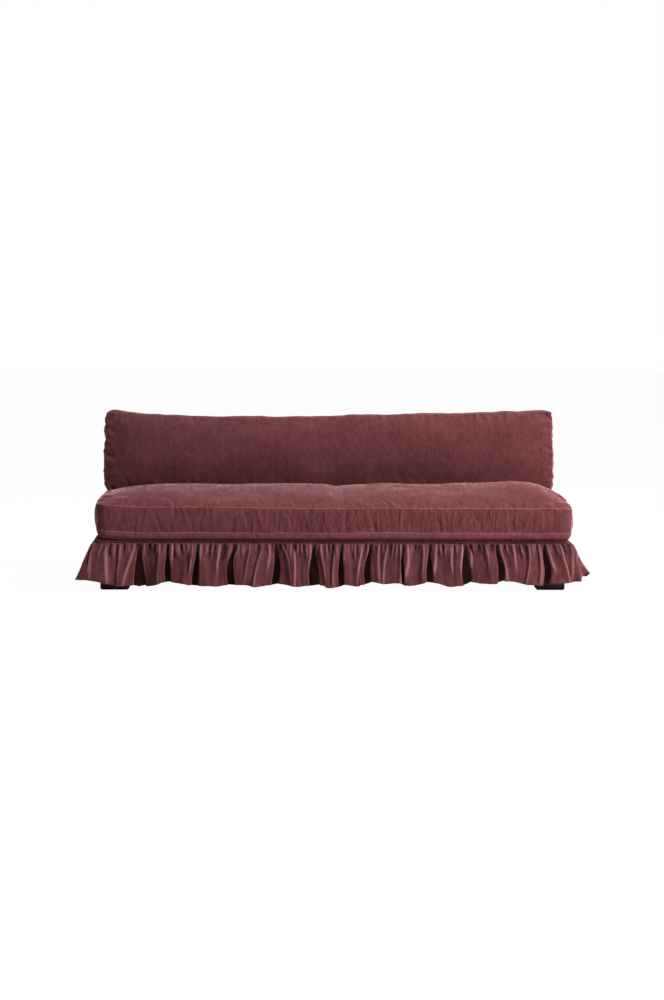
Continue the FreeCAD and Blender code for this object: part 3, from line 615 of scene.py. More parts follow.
def boxed(name, section, half, count, look, body):
    """A closed cushion on a lattice i along X, j over the panels and k through the boxing."""
    deep = BOXING_ROWS
    ends = CORNER_ROUND * (1 - np.cos(np.linspace(0, math.pi / 2, 10)))
    inside = half - CORNER_ROUND
    middle = np.linspace(-inside, inside, int(2 * inside / LATTICE_PITCH))
    xs = np.r_[-half + ends[:-1], middle, (half - ends[:-1])[::-1]]
    last = len(xs) - 1
    sections = [section(x, count) for x in xs]
    step_j, step_k = (
        np.linalg.norm(np.diff(sections[last // 2][n], axis=0), axis=1).mean() for n in (0, 2)
    )
    index, points, kinds, seams = {}, [], [], []

    def place(i, j, k):
        high, low, first, final = sections[i]
        s, t = j / count, k / deep
        if k in (0, deep):
            p = (high if k else low)[j]
        elif j in (0, count):
            p = (final if j else first)[k]
        else:
            p = (1 - t) * low[j] + t * high[j] + (1 - s) * first[k] + s * final[k]
            p = p - (1 - s) * ((1 - t) * low[0] + t * high[0])
            p = p - s * ((1 - t) * low[count] + t * high[count])
        swell = END_SWELL * (1 - (2 * t - 1) ** 4) * ease(min(s, 1 - s) * 9)
        return (xs[i] + {0: -swell, last: swell}.get(i, 0.0), p[0], p[1])

    def vertex(i, j, k):
        if (i, j, k) not in index:
            index[i, j, k] = len(points)
            points.append(place(i, j, k))
            panel = k in (0, deep)
            kinds.append((1.0 if k else -1.0) if panel else 0.0)
            off_panel = min(min(j, count - j) * step_j, half - abs(xs[i]))
            seams.append(off_panel if panel else min(k, deep - k) * step_k)
        return index[i, j, k]

    obj = make(name, points, box_faces((last, count, deep), vertex), look, body)
    set_attribute(obj.data, "kind", kinds)
    set_attribute(obj.data, "seam", seams)
    loops = []
    for k in (deep, 0):
        ring = [(i, 0, k) for i in range(last)] + [(last, j, k) for j in range(count)]
        ring += [(i, count, k) for i in range(last, 0, -1)] + [(0, j, k) for j in range(count, 0, -1)]
        loops.append([index[key] for key in ring])
    return obj, loops


# How a cover is puffed: spare cloth, its unevenness, the furthest that it moves and the steps taken
SPARE, UNEVEN, MOST, STEPS = 0.035, 140.0, 22.0, 20
PUFFED_CLOTH = {
    "quality": 5, "mass": 0.25, "tension_stiffness": 14.0, "compression_stiffness": 14.0,
    "shear_stiffness": 4.0, "bending_stiffness": 0.35, "air_damping": 3.0, "use_pressure": True,
    "uniform_pressure_force": 3.0, "vertex_group_mass": "held", "pin_stiffness": 1.0,
}


def puff(obj, loops):
    """Swells the cover over its fill: seams and lying side held, the cloth between cut a little too large."""
    base = points_of(obj.data)
    obj.shape_key_add(name="Basis")
    cut = obj.shape_key_add(name="cut")
    bigger = base.copy()
    bigger[:, 0] += SPARE * UNEVEN * rough(base[:, 0], UNEVEN, 7) + SPARE * base[:, 0]
    centre = base.mean(0)
    bigger[:, 1:] = centre[1:] + (base[:, 1:] - centre[1:]) * (1 + SPARE * 0.6)
    cut.data.foreach_set("co", (bigger / 1000.0).ravel())
    held = obj.vertex_groups.new(name="held")
    lying = np.nonzero(attribute_of(obj.data, "kind") < -0.5)[0]
    held.add([int(v) for v in [*loops[0], *loops[1], *lying]], 1.0, "REPLACE")
    modifier = obj.modifiers.new("cloth", "CLOTH")
    for key, value in PUFFED_CLOTH.items():
        setattr(modifier.settings, key, value)
    modifier.settings.effector_weights.gravity = 0.0
    modifier.settings.rest_shape_key = cut
    modifier.collision_settings.use_collision = False
    for number in range(1, STEPS + 1):
        scene.frame_set(number)
    dg = bpy.context.evaluated_depsgraph_get()
    shift = points_of(obj.evaluated_get(dg).data) - base
    obj.modifiers.clear()
    obj.shape_key_clear()
    scene.frame_set(1)
    far = np.linalg.norm(shift, axis=1)
    shift *= np.minimum(1.0, MOST / np.maximum(far, 1e-6))[:, None]
    set_points(obj.data, base + shift)


# Seat and back cushions

seat, seat_loops = boxed("seat_cushion_cover", seat_section, SEAT_HALF, 40, SEAT_VELVET, "seat_cushion")
back, back_loops = boxed("back_cushion_cover", back_section, BACK_HALF, 22, SHADED_BACK_VELVET, "back_cushion")
for cover, loops in ((seat, seat_loops), (back, back_loops)):
    puff(cover, loops)
    refine(cover)


def creases(along, across, span, count, rng, depth, width, reach, lean):
    """A sum of short creases that start at across = 0 and run off, each a little aslant."""
    total = np.zeros(len(along))
    for _ in range(count):
        at = rng.uniform(*span)
        w = rng.uniform(*width)
        d = rng.uniform(*depth) * rng.choice([-1, 1])
        r = rng.uniform(*reach)
        slope = rng.uniform(-lean, lean)
        bow = rng.uniform(-0.002, 0.002)
        away = along - at - slope * across - bow * across * across
        near = (np.abs(away) < 4 * w) & (across < r)
        fade = smooth((r - across[near]) / (0.6 * r)) * smooth(across[near] / 5.0)
        total[near] += d * fade * bell(away[near] / (w * (1 + 0.7 * across[near] / r)))
    return total


def cover_parts(obj):
    """A cover's points and normals, the distance to a seam, and the shares of boxing, top and underside."""
    kind, seam = attribute_of(obj.data, "kind"), attribute_of(obj.data, "seam")
    boxing = smooth((1 - np.abs(kind)) * 1.4)
    panel = 1 - boxing
    return points_of(obj.data), normals_of(obj.data), seam, boxing, panel * (kind > 0), panel * (kind < 0)


def settle(obj, move, seam):
    """Moves a cover's points in or out along their normals, drawn in a little at the seams."""
    move = move - bell(seam / 3.4)
    set_points(obj.data, points_of(obj.data) + normals_of(obj.data) * move[:, None])


# Spans of the seat's front boxing and how many creases each has
FRONT_CREASES = (((-300, 340), 46), ((430, 930), 24), ((-1000, -300), 16), ((340, 1000), 8))


def wrinkle_seat(obj):
    """Upright creases in the boxing, thickest at the middle, puckers off the seams and a slack top."""
    p, n, seam, boxing, top, under = cover_parts(obj)
    rng = np.random.RandomState(17)
    x, y, z = p.T
    below_top, above_low = np.maximum(SEAT_HIGH - z, 0), np.maximum(z - SEAT_LOW, 0)
    front = boxing * smooth((-n[:, 1] - 0.4) * 3)
    ends = boxing * smooth((np.abs(n[:, 0]) - 0.5) * 3)
    move = np.zeros(len(p))
    for span, count in FRONT_CREASES:
        for across in (below_top, above_low):
            move += front * creases(x, across, span, count // 2, rng, (1.6, 3.8), (3.6, 6.5), (45, 150), 0.30)
    for sign in (-1, 1):
        side = ends * (np.sign(x) == sign)
        for across in (below_top, above_low):
            move += side * creases(y, across, (-420, 330), 14, rng, (1.4, 3.2), (4, 8), (40, 120), 0.3)
    off = np.maximum(y - SEAT_FRONT, 0)
    move += top * creases(x, off, (-1030, 1030), 120, rng, (1.0, 2.8), (5, 10), (30, 120), 0.5)
    off_end = np.maximum(SEAT_HALF - np.abs(x), 0)
    for sign in (-1, 1):
        side = top * (np.sign(x) == sign)
        move += side * creases(y, off_end, (-420, 200), 22, rng, (1.5, 4.0), (7, 14), (60, 210), 0.7)
    under = under * smooth((60 - np.abs(z - SEAT_LOW)) / 20)
    off = np.maximum(SEAT_LOW - z, 0)
    move += under * creases(x, off, (-1030, 1030), 90, rng, (0.6, 1.6), (5, 9), (20, 40), 0.2)
    loose = smooth(seam / 90.0) * top
    move += loose * (3.2 * rough2(x, y, 190.0, 130.0, 18) + 1.5 * rough2(x, y, 70.0, 60.0, 19))
    move += boxing * 1.0 * rough2(x, z, 60.0, 50.0, 20)
    settle(obj, move, seam)


def wrinkle_back(obj):
    """Puckers off all four seams of the front, deepest at the ends, and a slack, slightly lumpy face."""
    p, n, seam, boxing, face, _ = cover_parts(obj)
    rng = np.random.RandomState(23)
    x = p[:, 0]
    rise = (p - np.array((0.0, *raked(0, 0)))) @ RISE_AXIS
    end = np.maximum(BACK_HALF - np.abs(x), 0)
    ends = boxing * smooth((np.abs(n[:, 0]) - 0.5) * 3)
    move = np.zeros(len(p))
    for sign in (-1, 1):
        mine = np.sign(x) == sign
        span = (170, 540)
        move += face * mine * creases(rise, end, span, 26, rng, (1.4, 3.2), (6, 11), (22, 75), 0.45)
        move += ends * mine * creases(rise, end + 12, span, 26, rng, (1.2, 3.0), (5, 9), (40, 80), 0.3)
    head = np.maximum(BACK_START + BACK_HEIGHT - 20 - rise, 0)
    move += face * creases(x, head, (-1040, 1040), 120, rng, (1.0, 2.6), (6, 12), (25, 90), 0.4)
    foot = np.maximum(rise - BACK_START, 0)
    move += face * creases(x, foot, (-1040, 1040), 90, rng, (1.0, 3.0), (7, 13), (30, 100), 0.5)
    top = boxing * smooth((n[:, 2] - 0.4) * 3)
    move += top * (1.0 * rough(x, 30.0, 24) + 1.6 * rough(x, 85.0, 25))
    loose = smooth(seam / 80.0) * face
    move += loose * (3.4 * rough2(x, rise, 210.0, 140.0, 26) + 1.3 * rough2(x, rise, 80.0, 70.0, 27))
    settle(obj, move, seam)


def waver(obj, half, seed, depth, slide, narrow=0.0, curl=0.0):
    """Makes the seams run a little unevenly and sets the cushion a little off its middle.

    Narrow draws both ends in, and curl lifts the left end."""
    p = points_of(obj.data)
    x = p[:, 0]
    end = np.exp(-np.maximum(half - np.abs(x), 0) / 26.0)
    across = p[:, 1] * 0.6 + p[:, 2]
    out = depth * (0.7 * rough(across, 34.0, seed) + 0.5 * rough(across, 80.0, seed + 1))
    moved = p.copy()
    moved[:, 0] += np.sign(x) * end * out
    moved[:, 2] += end * 0.4 * depth * rough(across, 45.0, seed + 2)
    moved[:, 2] += 0.45 * depth * rough(x, 55.0, seed + 3) + 0.35 * depth * rough(x, 150.0, seed + 4)
    moved[:, 0] += slide - narrow * x / half
    moved[:, 2] += curl * smooth((-x - 0.80 * half) / (0.2 * half))
    set_points(obj.data, moved)


wrinkle_seat(seat)
wrinkle_back(back)
waver(seat, SEAT_HALF, 51, 2.4, slide=6.0, curl=11.0)
waver(back, BACK_HALF, 61, 4.2, slide=-1.0, narrow=6.0)


def clamp(obj, *rules):
    """Keeps a cushion on its own side of flat faces, each a point on the face and the free direction."""
    p = points_of(obj.data)
    for point, free in rules:
        free = np.array(free, float)
        depth = (p - np.array(point, float)) @ free
        p += np.where(depth < 0, -depth, 0.0)[:, None] * free
    set_points(obj.data, p)


REST = (0.0, *raked(BACK_FACE, BACK_START))
PRESSED = 0.4


def press(obj):
    """Presses the seat's rear down to the slope on which the back cushion stands."""
    p = points_of(obj.data)
    above = (p - np.array(REST)) @ RISE_AXIS
    under = (p[:, 1] > SEAT_REAR - REST_DEPTH) & (above > -PRESSED)
    p[under] -= (above[under] + PRESSED)[:, None] * RISE_AXIS
    set_points(obj.data, p)


clamp(seat, ((0, 0, SEAT_BOTTOM), (0, 0, 1)), ((0, SEAT_REAR, 0), (0, -1, 0)))
press(seat)
clamp(back, (REST, RISE_AXIS), ((0.0, *raked(BACK_FACE - CLEAR, 0.0)), -DEPTH_AXIS))

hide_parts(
    "seat_top_panel", "seat_front_boxing", "seat_zip_boxing", "seat_bottom_panel",
    "seat_end_boxing_left", "seat_end_boxing_right", "seat_feather_left", "seat_feather_right",
    "seat_foam_core",
)
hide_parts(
    "back_front_panel", "back_rear_panel", "back_top_boxing", "back_bottom_boxing",
    "back_end_boxing_left", "back_end_boxing_right", "back_feather_left", "back_feather_right",
)


def seam_lines(obj, loops):
    """The sewn edges of a finished cover as closed lines, rounded between the points of its lattice."""
    p, n = points_of(obj.data), normals_of(obj.data)
    lines = []
    for loop in loops:
        q = p[loop] - 0.4 * n[loop]
        before, after, beyond = np.roll(q, 1, 0), np.roll(q, -1, 0), np.roll(q, -2, 0)
        thirds = []
        for f in (0.0, 1 / 3, 2 / 3):
            thirds.append(0.5 * (
                2 * q + (after - before) * f + (2 * before - 5 * q + 4 * after - beyond) * f ** 2
                + (3 * q - before - 3 * after + beyond) * f ** 3
            ))
        lines.append(np.stack(thirds, 1).reshape(-1, 3))
    return lines


tube("seat_seam_welt", seam_lines(seat, seat_loops), 2.4, "seat_cushion")
tube("back_seam_welt", seam_lines(back, back_loops), 2.0, "back_cushion")


# Gathered skirt

SKIRT_TOP, SKIRT_DROP, SKIRT_TUCK, SKIRT_OFF = 204.0, 178.0, 1.5, 3.4
SKIRT_SIDES = [2 * (HALF_WIDTH + 4.0), 2 * (HALF_DEPTH + 4.0)] * 2
SKIRT_ROUND, SKIRT_ROWS, FOLD_COLUMNS = 120.0, 42, 100

# Widths of the front's folds, left to right, and the usual width of the others
FRONT_FOLDS = [195, 118, 131, 167, 175, 170, 123, 131, 145, 114, 157, 136, 210, 116]
FOLD_WIDTH = 145.0

# How far the hem stands out and lifts at the corners, from the front left one round by the right
CORNER_FLARE, FLARE_WIDTH = np.array([44.0, -22.0, 18.0, 18.0]), 62.0
CORNER_TIP, TIP_WIDTH = np.array([24.0, 9.0, 8.0, 8.0]), 55.0

# The fold past the front right corner that stands out and lifts most: its place and width
RIGHT_AT, RIGHT_WIDTH, RIGHT_FLARE, RIGHT_TIP = 132.0, 52.0, 18.0, 36.0

# How far the ruffle hangs away from the frame at the hem, and the height of its folds there
LONG_HANG, SHORT_HANG = 5.0, 20.0
LONG_HEIGHT, SHORT_HEIGHT = 64.0, 70.0
GATHER = 8.0


def fold_edges(sides):
    """Where the valleys between main folds start, round the whole skirt; a fold stands over each corner."""
    edges, base = [], 0.0
    for number, length in enumerate(sides):
        if number == 0:
            places = np.cumsum(FRONT_FOLDS)[:-1] * (length / sum(FRONT_FOLDS))
        else:
            folds = int(round(length / FOLD_WIDTH)) - 1
            pitches = np.array([1 + 0.2 * math.sin(2.4 * k) for k in range(folds)])
            places = 75.0 + np.r_[0, np.cumsum(pitches)] * ((length - 150.0) / pitches.sum())
        edges.append(base + places)
        base += length
    edges = np.concatenate(edges)
    return np.r_[edges, edges[0] + base]


def way_round(distance, around):
    """A distance round the skirt, taken the shorter way."""
    return (distance + around / 2) % around - around / 2


def ridges(s, v, edges, seed):
    """Gathers: narrow leaning ridges that start under the band, each with a slack and a steep side.

    Gives how far out they stand and how near each point is to a ridge line, 0 to 1, which the skirt's colour
    takes as a painted highlight."""
    rng = np.random.RandomState(seed)
    out, line = np.zeros((len(v), len(s))), np.zeros((len(v), len(s)))
    around = edges[-1] - edges[0]
    for left, right in zip(edges[:-1], edges[1:]):
        pitch = right - left
        long_ones = max(2, int(round(pitch / 55.0 + rng.uniform(-0.5, 0.5))))
        short_ones = int(round(pitch / 20.0))
        for n in range(long_ones + short_ones):
            steep = rng.choice([-1, 1])
            if n < long_ones:
                at = left + pitch * (n + 0.5 + rng.uniform(-0.3, 0.3)) / long_ones
                slack, sharp, tall = rng.uniform(13.0, 24.0), rng.uniform(3.4, 5.0), rng.uniform(9.0, 17.0)
                start, end = rng.uniform(-0.2, 0.06), rng.uniform(0.7, 1.6)
                lean = rng.uniform(-30.0, 30.0)
                ridge_highlight = 1.0
            else:
                at = left + pitch * (n - long_ones + 0.5 + rng.uniform(-0.4, 0.4)) / short_ones
                slack, sharp, tall = rng.uniform(5.0, 9.0), rng.uniform(3.2, 4.6), rng.uniform(8.0, 14.0)
                start, end = -0.25, rng.uniform(0.18, 0.5)
                lean = rng.uniform(-16.0, 16.0)
                ridge_highlight = 0.45
            bend = rng.uniform(-10.0, 10.0)
            near = np.abs(way_round(s - at, around)) < 120.0
            middle = at + lean * v + bend * np.sin(3.0 * v)
            away = way_round(s[None, near] - middle, around) * steep
            w = np.where(away < 0, slack, sharp) * (1 + 0.6 * v)
            share = smooth((v - start) / 0.22) * smooth((end - v) / (0.45 * (end - start)))
            out[:, near] += (tall * share) * bell(away / w)
            # Painted highlight along the ridge line, fainter on the short ridges
            edge = ridge_highlight * share * bell(away / np.where(away < 0, 3.0, 0.8 * sharp))
            line[:, near] = np.maximum(line[:, near], edge)
    return out, line


def curve(knots, values, at):
    """A smooth curve through knots, as Hermite pieces."""
    knots, values = np.asarray(knots, float), np.asarray(values, float)
    slope = np.gradient(values, knots)
    i = np.clip(np.searchsorted(knots, at, side="right") - 1, 0, len(knots) - 2)
    h = knots[i + 1] - knots[i]
    t = (at - knots[i]) / h
    low, high = values[i], values[i + 1]
    return (
        low * (1 + 2 * t) * (1 - t) ** 2 + slope[i] * h * t * (1 - t) ** 2
        + high * t * t * (3 - 2 * t) - slope[i + 1] * h * t * t * (1 - t)
    )


FOLD_KNOTS = [0.0, 0.03, 0.055, 0.08, 0.14, 0.32, 0.50, 0.68, 0.86, 0.92, 0.945, 0.97, 1.0]


def hem_fold(tau, pitch, height, rng):
    """One main fold at the hem as (along, out): a valley floor, steep walls with lips and a broad face."""
    left, right = rng.uniform(13.0, 33.0, 2) * (min(pitch, 170.0) / FOLD_WIDTH)
    lip_left, lip_right = rng.uniform(-2.0, 10.0, 2)
    high_left, high_right = height * rng.uniform(0.62, 1.02, 2)
    middle = 0.5 * (high_left + high_right) * rng.uniform(0.95, 1.25)
    along = [0.0, 0.8 * left, left, left - lip_left, left + 0.07 * pitch, 0.37 * pitch, 0.5 * pitch]
    along += [0.63 * pitch, 0.93 * pitch - right, pitch - right + lip_right, pitch - right]
    along += [pitch - 0.8 * right, pitch]

    def wall(high):
        return [0.0, 0.03 * high, 0.42 * high, 0.84 * high, high, 0.6 * high + 0.4 * middle]

    out = [*wall(high_left), middle, *wall(high_right)[::-1]]
    return curve(FOLD_KNOTS, along, tau), curve(FOLD_KNOTS, out, tau)


def skirt_points(sides):
    """The ruffle as (along, out, z) rows from band to hem, gathers that run into deep folds, and its painted
    shade and highlights.
    """
    around = sum(sides)
    edges = fold_edges(sides)
    count = FOLD_COLUMNS * (len(edges) - 1)
    fold = np.arange(count) / FOLD_COLUMNS
    number = np.floor(fold).astype(int)
    tau = fold - number
    tau = tau - 0.6 * np.sin(2 * math.pi * tau) / (2 * math.pi)
    s = edges[number] + tau * np.diff(edges)[number]
    v = np.linspace(0, 1, SKIRT_ROWS)[:, None] ** 1.2
    side = np.searchsorted(np.cumsum(sides), s % around, side="right")
    long_side = (side % 2 == 0).astype(float)

    # Corners that stand out and lift
    corners = np.cumsum([0.0] + sides[:3])
    apart = np.abs(way_round(s[:, None] - corners, around))
    right_fold = bell((s - corners[1] - RIGHT_AT) / RIGHT_WIDTH)
    flare = bell(apart / FLARE_WIDTH) @ CORNER_FLARE + RIGHT_FLARE * right_fold
    tip = bell(apart / TIP_WIDTH) @ CORNER_TIP + RIGHT_TIP * right_fold

    # Main folds: the shift along the hem, the height of the fold and the fall of its hem
    rng, hang = np.random.RandomState(12), np.random.RandomState(47)
    shift, crest, fall = np.zeros(count), np.zeros(count), np.zeros(count)
    for n in range(len(edges) - 1):
        mine = number == n
        pitch = edges[n + 1] - edges[n]
        height = LONG_HEIGHT if long_side[mine][0] else SHORT_HEIGHT
        a, crest[mine] = hem_fold(tau[mine], pitch, height * (min(pitch, 200.0) / FOLD_WIDTH) ** 0.3, rng)
        shift[mine] = edges[n] + a - s[mine]
        across = 2 * tau[mine] - 1
        fall[mine] = hang.uniform(-6.0, 6.0) + hang.uniform(-9.0, 9.0) * across + 7.0 * across ** 2
    fall = np.convolve(np.r_[fall[-6:], fall, fall[:6]], np.ones(13) / 13.0, "valid")
    share = np.clip(crest / 50.0, 0, 1)
    gathers, line = ridges(s, v, edges, 71)
    gathered = np.clip(gathers / GATHER, 0, 1)

    # How far out, how far along and how high each point is
    out = crest * (0.24 * (1 - np.exp(-v / 0.10)) + 0.76 * v ** 0.9) + gathers * (0.45 + 0.55 * share)
    out = out + 2.5 * rough2(s + 0 * v, SKIRT_DROP * v + 0 * s, 70.0, 60.0, 27) * smooth(v * 2)
    puffed = np.sin(np.minimum(v / 0.17, 1) * math.pi / 2)
    out = np.maximum(out, -1.0) * puffed + SKIRT_OFF + SKIRT_TUCK * puffed
    out = out + np.where(long_side, LONG_HANG, SHORT_HANG) * v + flare * v ** 1.1
    along = s + shift * smooth(v * 1.25) + v * 18.0 * rough(s, 170.0, 25)
    along = along + np.sin(math.pi * v) * 12.0 * rough(s, 130.0, 26)
    uneven = 8.0 * rough(s, 260.0, 41) + 4.0 * rough(s, 55.0, 42)
    lift = v ** 2 * (5.0 - 6.0 * (1 - share) + tip + fall + uneven)
    heads = 13.0 * gathered * np.sin(math.pi * np.minimum(v / 0.14, 1))
    z = SKIRT_TOP + SKIRT_TUCK - (SKIRT_DROP + SKIRT_TUCK) * v + lift + heads

    # Painted light: painted shade in the valleys and between the gathers, less of it towards the front's
    # right end, and a painted highlight along the ridges
    lit_right = 0.32 * smooth((s / sides[0] - 0.55) / 0.3) * (side == 0)
    valley = (1 - smooth(crest / 58.0)) * smooth(v / 0.16) * (1 - lit_right)
    recess_shade = 0.95 * (1 - gathered) * (1 - smooth((v - 0.06) / 0.30))
    painted_fold_light = line * (0.4 + 0.6 * share) * smooth(v / 0.10) - np.maximum(valley, recess_shade)
    # Painted shade along the top rows, under the band
    painted_fold_light = np.maximum(painted_fold_light - 0.7 * (1 - smooth(v / 0.13)), -1.0)
    return np.stack([along % around, out, z], -1), painted_fold_light


def wrap_round(points, sides, corner):
    """Wraps (along, out, z) points round the frame; the folds fan out at the rounded corners."""
    s, out, z = points[..., 0], points[..., 1], points[..., 2]
    hx, hy = sides[0] / 2, sides[1] / 2
    starts = [(-hx, -hy), (hx, -hy), (hx, hy), (-hx, hy)]
    ways = [(1, 0), (0, 1), (-1, 0), (0, -1)]
    xy = np.zeros(s.shape + (2,))
    base = 0.0
    for start, way, length in zip(starts, ways, sides):
        inside = (s >= base) & (s < base + length)
        d = s - base
        normal = (way[1], -way[0])
        near = 1 - smooth(d / corner)
        far = 1 - smooth((length - d) / corner)
        turn = np.where(d < length / 2, -near, far) * math.pi / 4
        for k in (0, 1):
            facing_out = normal[k] * np.cos(turn) + way[k] * np.sin(turn)
            xy[inside, k] = (start[k] + way[k] * d + facing_out * out)[inside]
        base += length
    return np.concatenate([xy, z[..., None]], -1)


placed, painted_fold_light = skirt_points(SKIRT_SIDES)
placed = wrap_round(placed, SKIRT_SIDES, SKIRT_ROUND)
skirt = make_grids("skirt_ruffle", [placed], SHADED_SKIRT_VELVET, "frame", "velvet", wrap=True)
# The fold attribute carries the skirt's painted shade and painted highlights
set_attribute(skirt.data, "fold", painted_fold_light.ravel())
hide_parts("skirt_front", "skirt_rear", "skirt_left", "skirt_right")
thicken(skirt, 2.0)
quads = np.cross(np.diff(placed, axis=0)[:, :-1], np.diff(placed, axis=1)[:-1])


# Flat cloth and padded pieces of the base and the back

RING_STEP, RING_CORNER = 9.0, 10.0


def ring_section(section, seed, wander):
    """Points of a strip round the base: a closed or open (out, z) section carried round, corners rounded."""
    rounds = []
    for sx, sy, turn in ((1, -1, -90), (1, 1, 0), (-1, 1, 90), (-1, -1, 180)):
        centre = np.array([sx * (HALF_WIDTH - RING_CORNER), sy * (HALF_DEPTH - RING_CORNER)])
        for a in np.radians(np.linspace(turn, turn + 90, 7)):
            normal = np.array([math.cos(a), math.sin(a)])
            rounds.append((centre + RING_CORNER * normal, normal))
    points, normals = [], []
    for (a, normal_a), (b, normal_b) in zip(rounds, rounds[1:] + rounds[:1]):
        n = max(1, int(np.linalg.norm(b - a) / RING_STEP))
        for k in range(n):
            f = k / n
            points.append(a + (b - a) * f)
            normal = normal_a * (1 - f) + normal_b * f
            normals.append(normal / np.linalg.norm(normal))
    points, normals = np.array(points), np.array(normals)
    along = np.arange(len(points)) * RING_STEP
    rows = []
    for out, z in section:
        shift = out + wander * rough(along + 3 * z, 70.0, seed)
        rows.append(np.c_[points + normals * shift[:, None], np.full(len(points), z)])
    return np.array(rows)


def ring_piece(name, section, seed, wander, closed):
    rows = ring_section(section, seed, wander)
    return make_grids(name, [rows], VELVET, "frame", "velvet", wrap=True, ring=closed)


BORDER_HEIGHT, BORDER_ROWS = 147.0, 12
border_section = [
    (3.8 - 0.5 * (k in (0, BORDER_ROWS)), RAIL_BOTTOM + 0.5 + BORDER_HEIGHT * k / BORDER_ROWS)
    for k in range(BORDER_ROWS + 1)
]
border = ring_piece("base_border_cloth", border_section, 81, 0.4, False)
thicken(border, 3.4)
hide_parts("base_border")

# The band, with a rolled edge and a stitched groove above and below
BAND = [
    (4.2, 204.3), (5.6, 203.8), (7.4, 204.4), (8.0, 206.0), (7.3, 207.6), (7.7, 209.4), (8.0, 214.0),
    (7.7, 218.6), (7.3, 220.4), (8.0, 222.0), (7.4, 223.6), (5.6, 224.2), (4.2, 223.7), (4.1, 214.0),
]
BAND_SEED, BAND_WANDER = 83, 0.3
band = ring_piece("skirt_header_band", BAND, BAND_SEED, BAND_WANDER, True)
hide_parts("skirt_band")

STITCH, STITCH_GAP, STITCH_THICK, GROOVE = 3.4, 2.2, 0.55, 7.6
STITCH_SECTION = ((-1, -0.4), (-0.5, 0.7), (0.5, 0.7), (1, -0.4))


def stitches(name, lines, outward):
    """Rows of short raised stitches along closed lines of points with the same outward directions."""
    grids = []
    outs = np.r_[outward, outward[:1]]
    for line in lines:
        ring = np.r_[line, line[:1]]
        step = np.r_[0, np.cumsum(np.linalg.norm(np.diff(ring, axis=0), axis=1))]
        for start in np.arange(0, step[-1] - STITCH, STITCH + STITCH_GAP):
            at = np.array([start, start + STITCH / 2, start + STITCH])
            p = np.stack([np.interp(at, step, ring[:, k]) for k in range(3)], 1)
            o = np.array([np.interp(start, step, outs[:, k]) for k in range(3)])
            d = p[2] - p[0]
            d /= max(np.linalg.norm(d), 1e-9)
            w = np.cross(d, o)
            rows = []
            for q, rise, wide in zip(p, (-0.2, STITCH_THICK, -0.2), (0.5, 1.0, 0.5)):
                rows.append([
                    q + w * e * STITCH_THICK * wide + o * (rise + f * STITCH_THICK * 0.6)
                    for e, f in STITCH_SECTION
                ])
            grids.append(np.array(rows))
    return make_grids(name, grids, SEAM_PAINTED_HIGHLIGHT, "frame", "velvet")


stitch_rows = ring_section([(GROOVE, 207.6), (GROOVE, 220.4)], BAND_SEED, BAND_WANDER)
outward = stitch_rows[0] - ring_section([(0.0, 207.6)], BAND_SEED, BAND_WANDER)[0]
outward /= np.linalg.norm(outward, axis=1)[:, None]
stitches("band_stitches", stitch_rows, outward)


def slab(name, centre, axes, halves, counts, edge, look, wander, seed):
    """A soft flat pad: a closed lattice box with rounded edges and faces that are a little uneven."""
    axes, halves = np.array(axes, float), np.array(halves)
    index, points = {}, []

    def vertex(*key):
        if key not in index:
            p = (2 * np.array(key) / counts - 1) * halves
            inner = np.clip(p, edge - halves, halves - edge)
            d = p - inner
            reach = np.linalg.norm(d)
            if reach > edge:
                p = inner + d * edge / reach
            index[key] = len(points)
            points.append(np.array(centre, float) + p @ axes)
        return index[key]

    faces = box_faces(counts, vertex)
    obj = make(name, points, faces, look, "frame")
    p, n = points_of(obj.data), normals_of(obj.data)
    hollow = 0.5 + 0.5 * rough2(p[:, 0], p[:, 1] + p[:, 2], 130.0, 130.0, seed)
    set_points(obj.data, p - n * (wander * np.clip(hollow, 0, 1))[:, None])
    return obj


DECK_REAR = PAD_FOOT[0] - CLEAR
deck_middle = (0, (DECK_REAR - HALF_DEPTH) / 2, 220.9)
deck_halves = (HALF_WIDTH - CLEAR, (DECK_REAR + HALF_DEPTH) / 2 - CLEAR, 6.9)
deck = slab(
    "deck_pad_cover", deck_middle, np.eye(3), deck_halves, (104, 40, 4), 4.0, DECK, 0.5, 91,
)
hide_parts("deck_cloth", "deck_pad", "deck_insulator")

back_axes, back_halves = ((1, 0, 0), RISE_AXIS, -DEPTH_AXIS), (HALF_WIDTH - 0.2, 239.6, 8.8)
inside = slab(
    "inside_back_pad", (0, *raked(-11.1, 259.8)), back_axes, back_halves, (104, 26, 4), 7.0, VELVET,
    0.8, 93,
)
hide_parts("back_pad", "inside_back_cover")

SHEET_STEP, SHEET_COLUMNS = 14.0, 160


def sheet_strip(name, path, half, thickness, wander, seed):
    """A velvet sheet stretched along X whose section follows a path of (y, z) points."""
    path = np.asarray(path, float)
    length = np.r_[0, np.cumsum(np.linalg.norm(np.diff(path, axis=0), axis=1))]
    at = np.unique(np.r_[np.arange(0, length[-1], SHEET_STEP), length])
    line = np.stack([np.interp(at, length, path[:, k]) for k in (0, 1)], 1)
    way = np.gradient(line, axis=0)
    way /= np.linalg.norm(way, axis=1)[:, None]
    xs = np.linspace(-half, half, SHEET_COLUMNS)
    uneven = wander * rough2(xs[None, :], at[:, None], 210.0, 120.0, seed)
    y = line[:, :1] + way[:, 1:] * uneven
    z = line[:, 1:] - way[:, :1] * uneven
    grid = np.stack([np.broadcast_to(xs, y.shape), y, z], -1)
    obj = make_grids(name, [grid], VELVET, "frame", "velvet")
    thicken(obj, thickness, 0.0)
    return obj, length[-1]


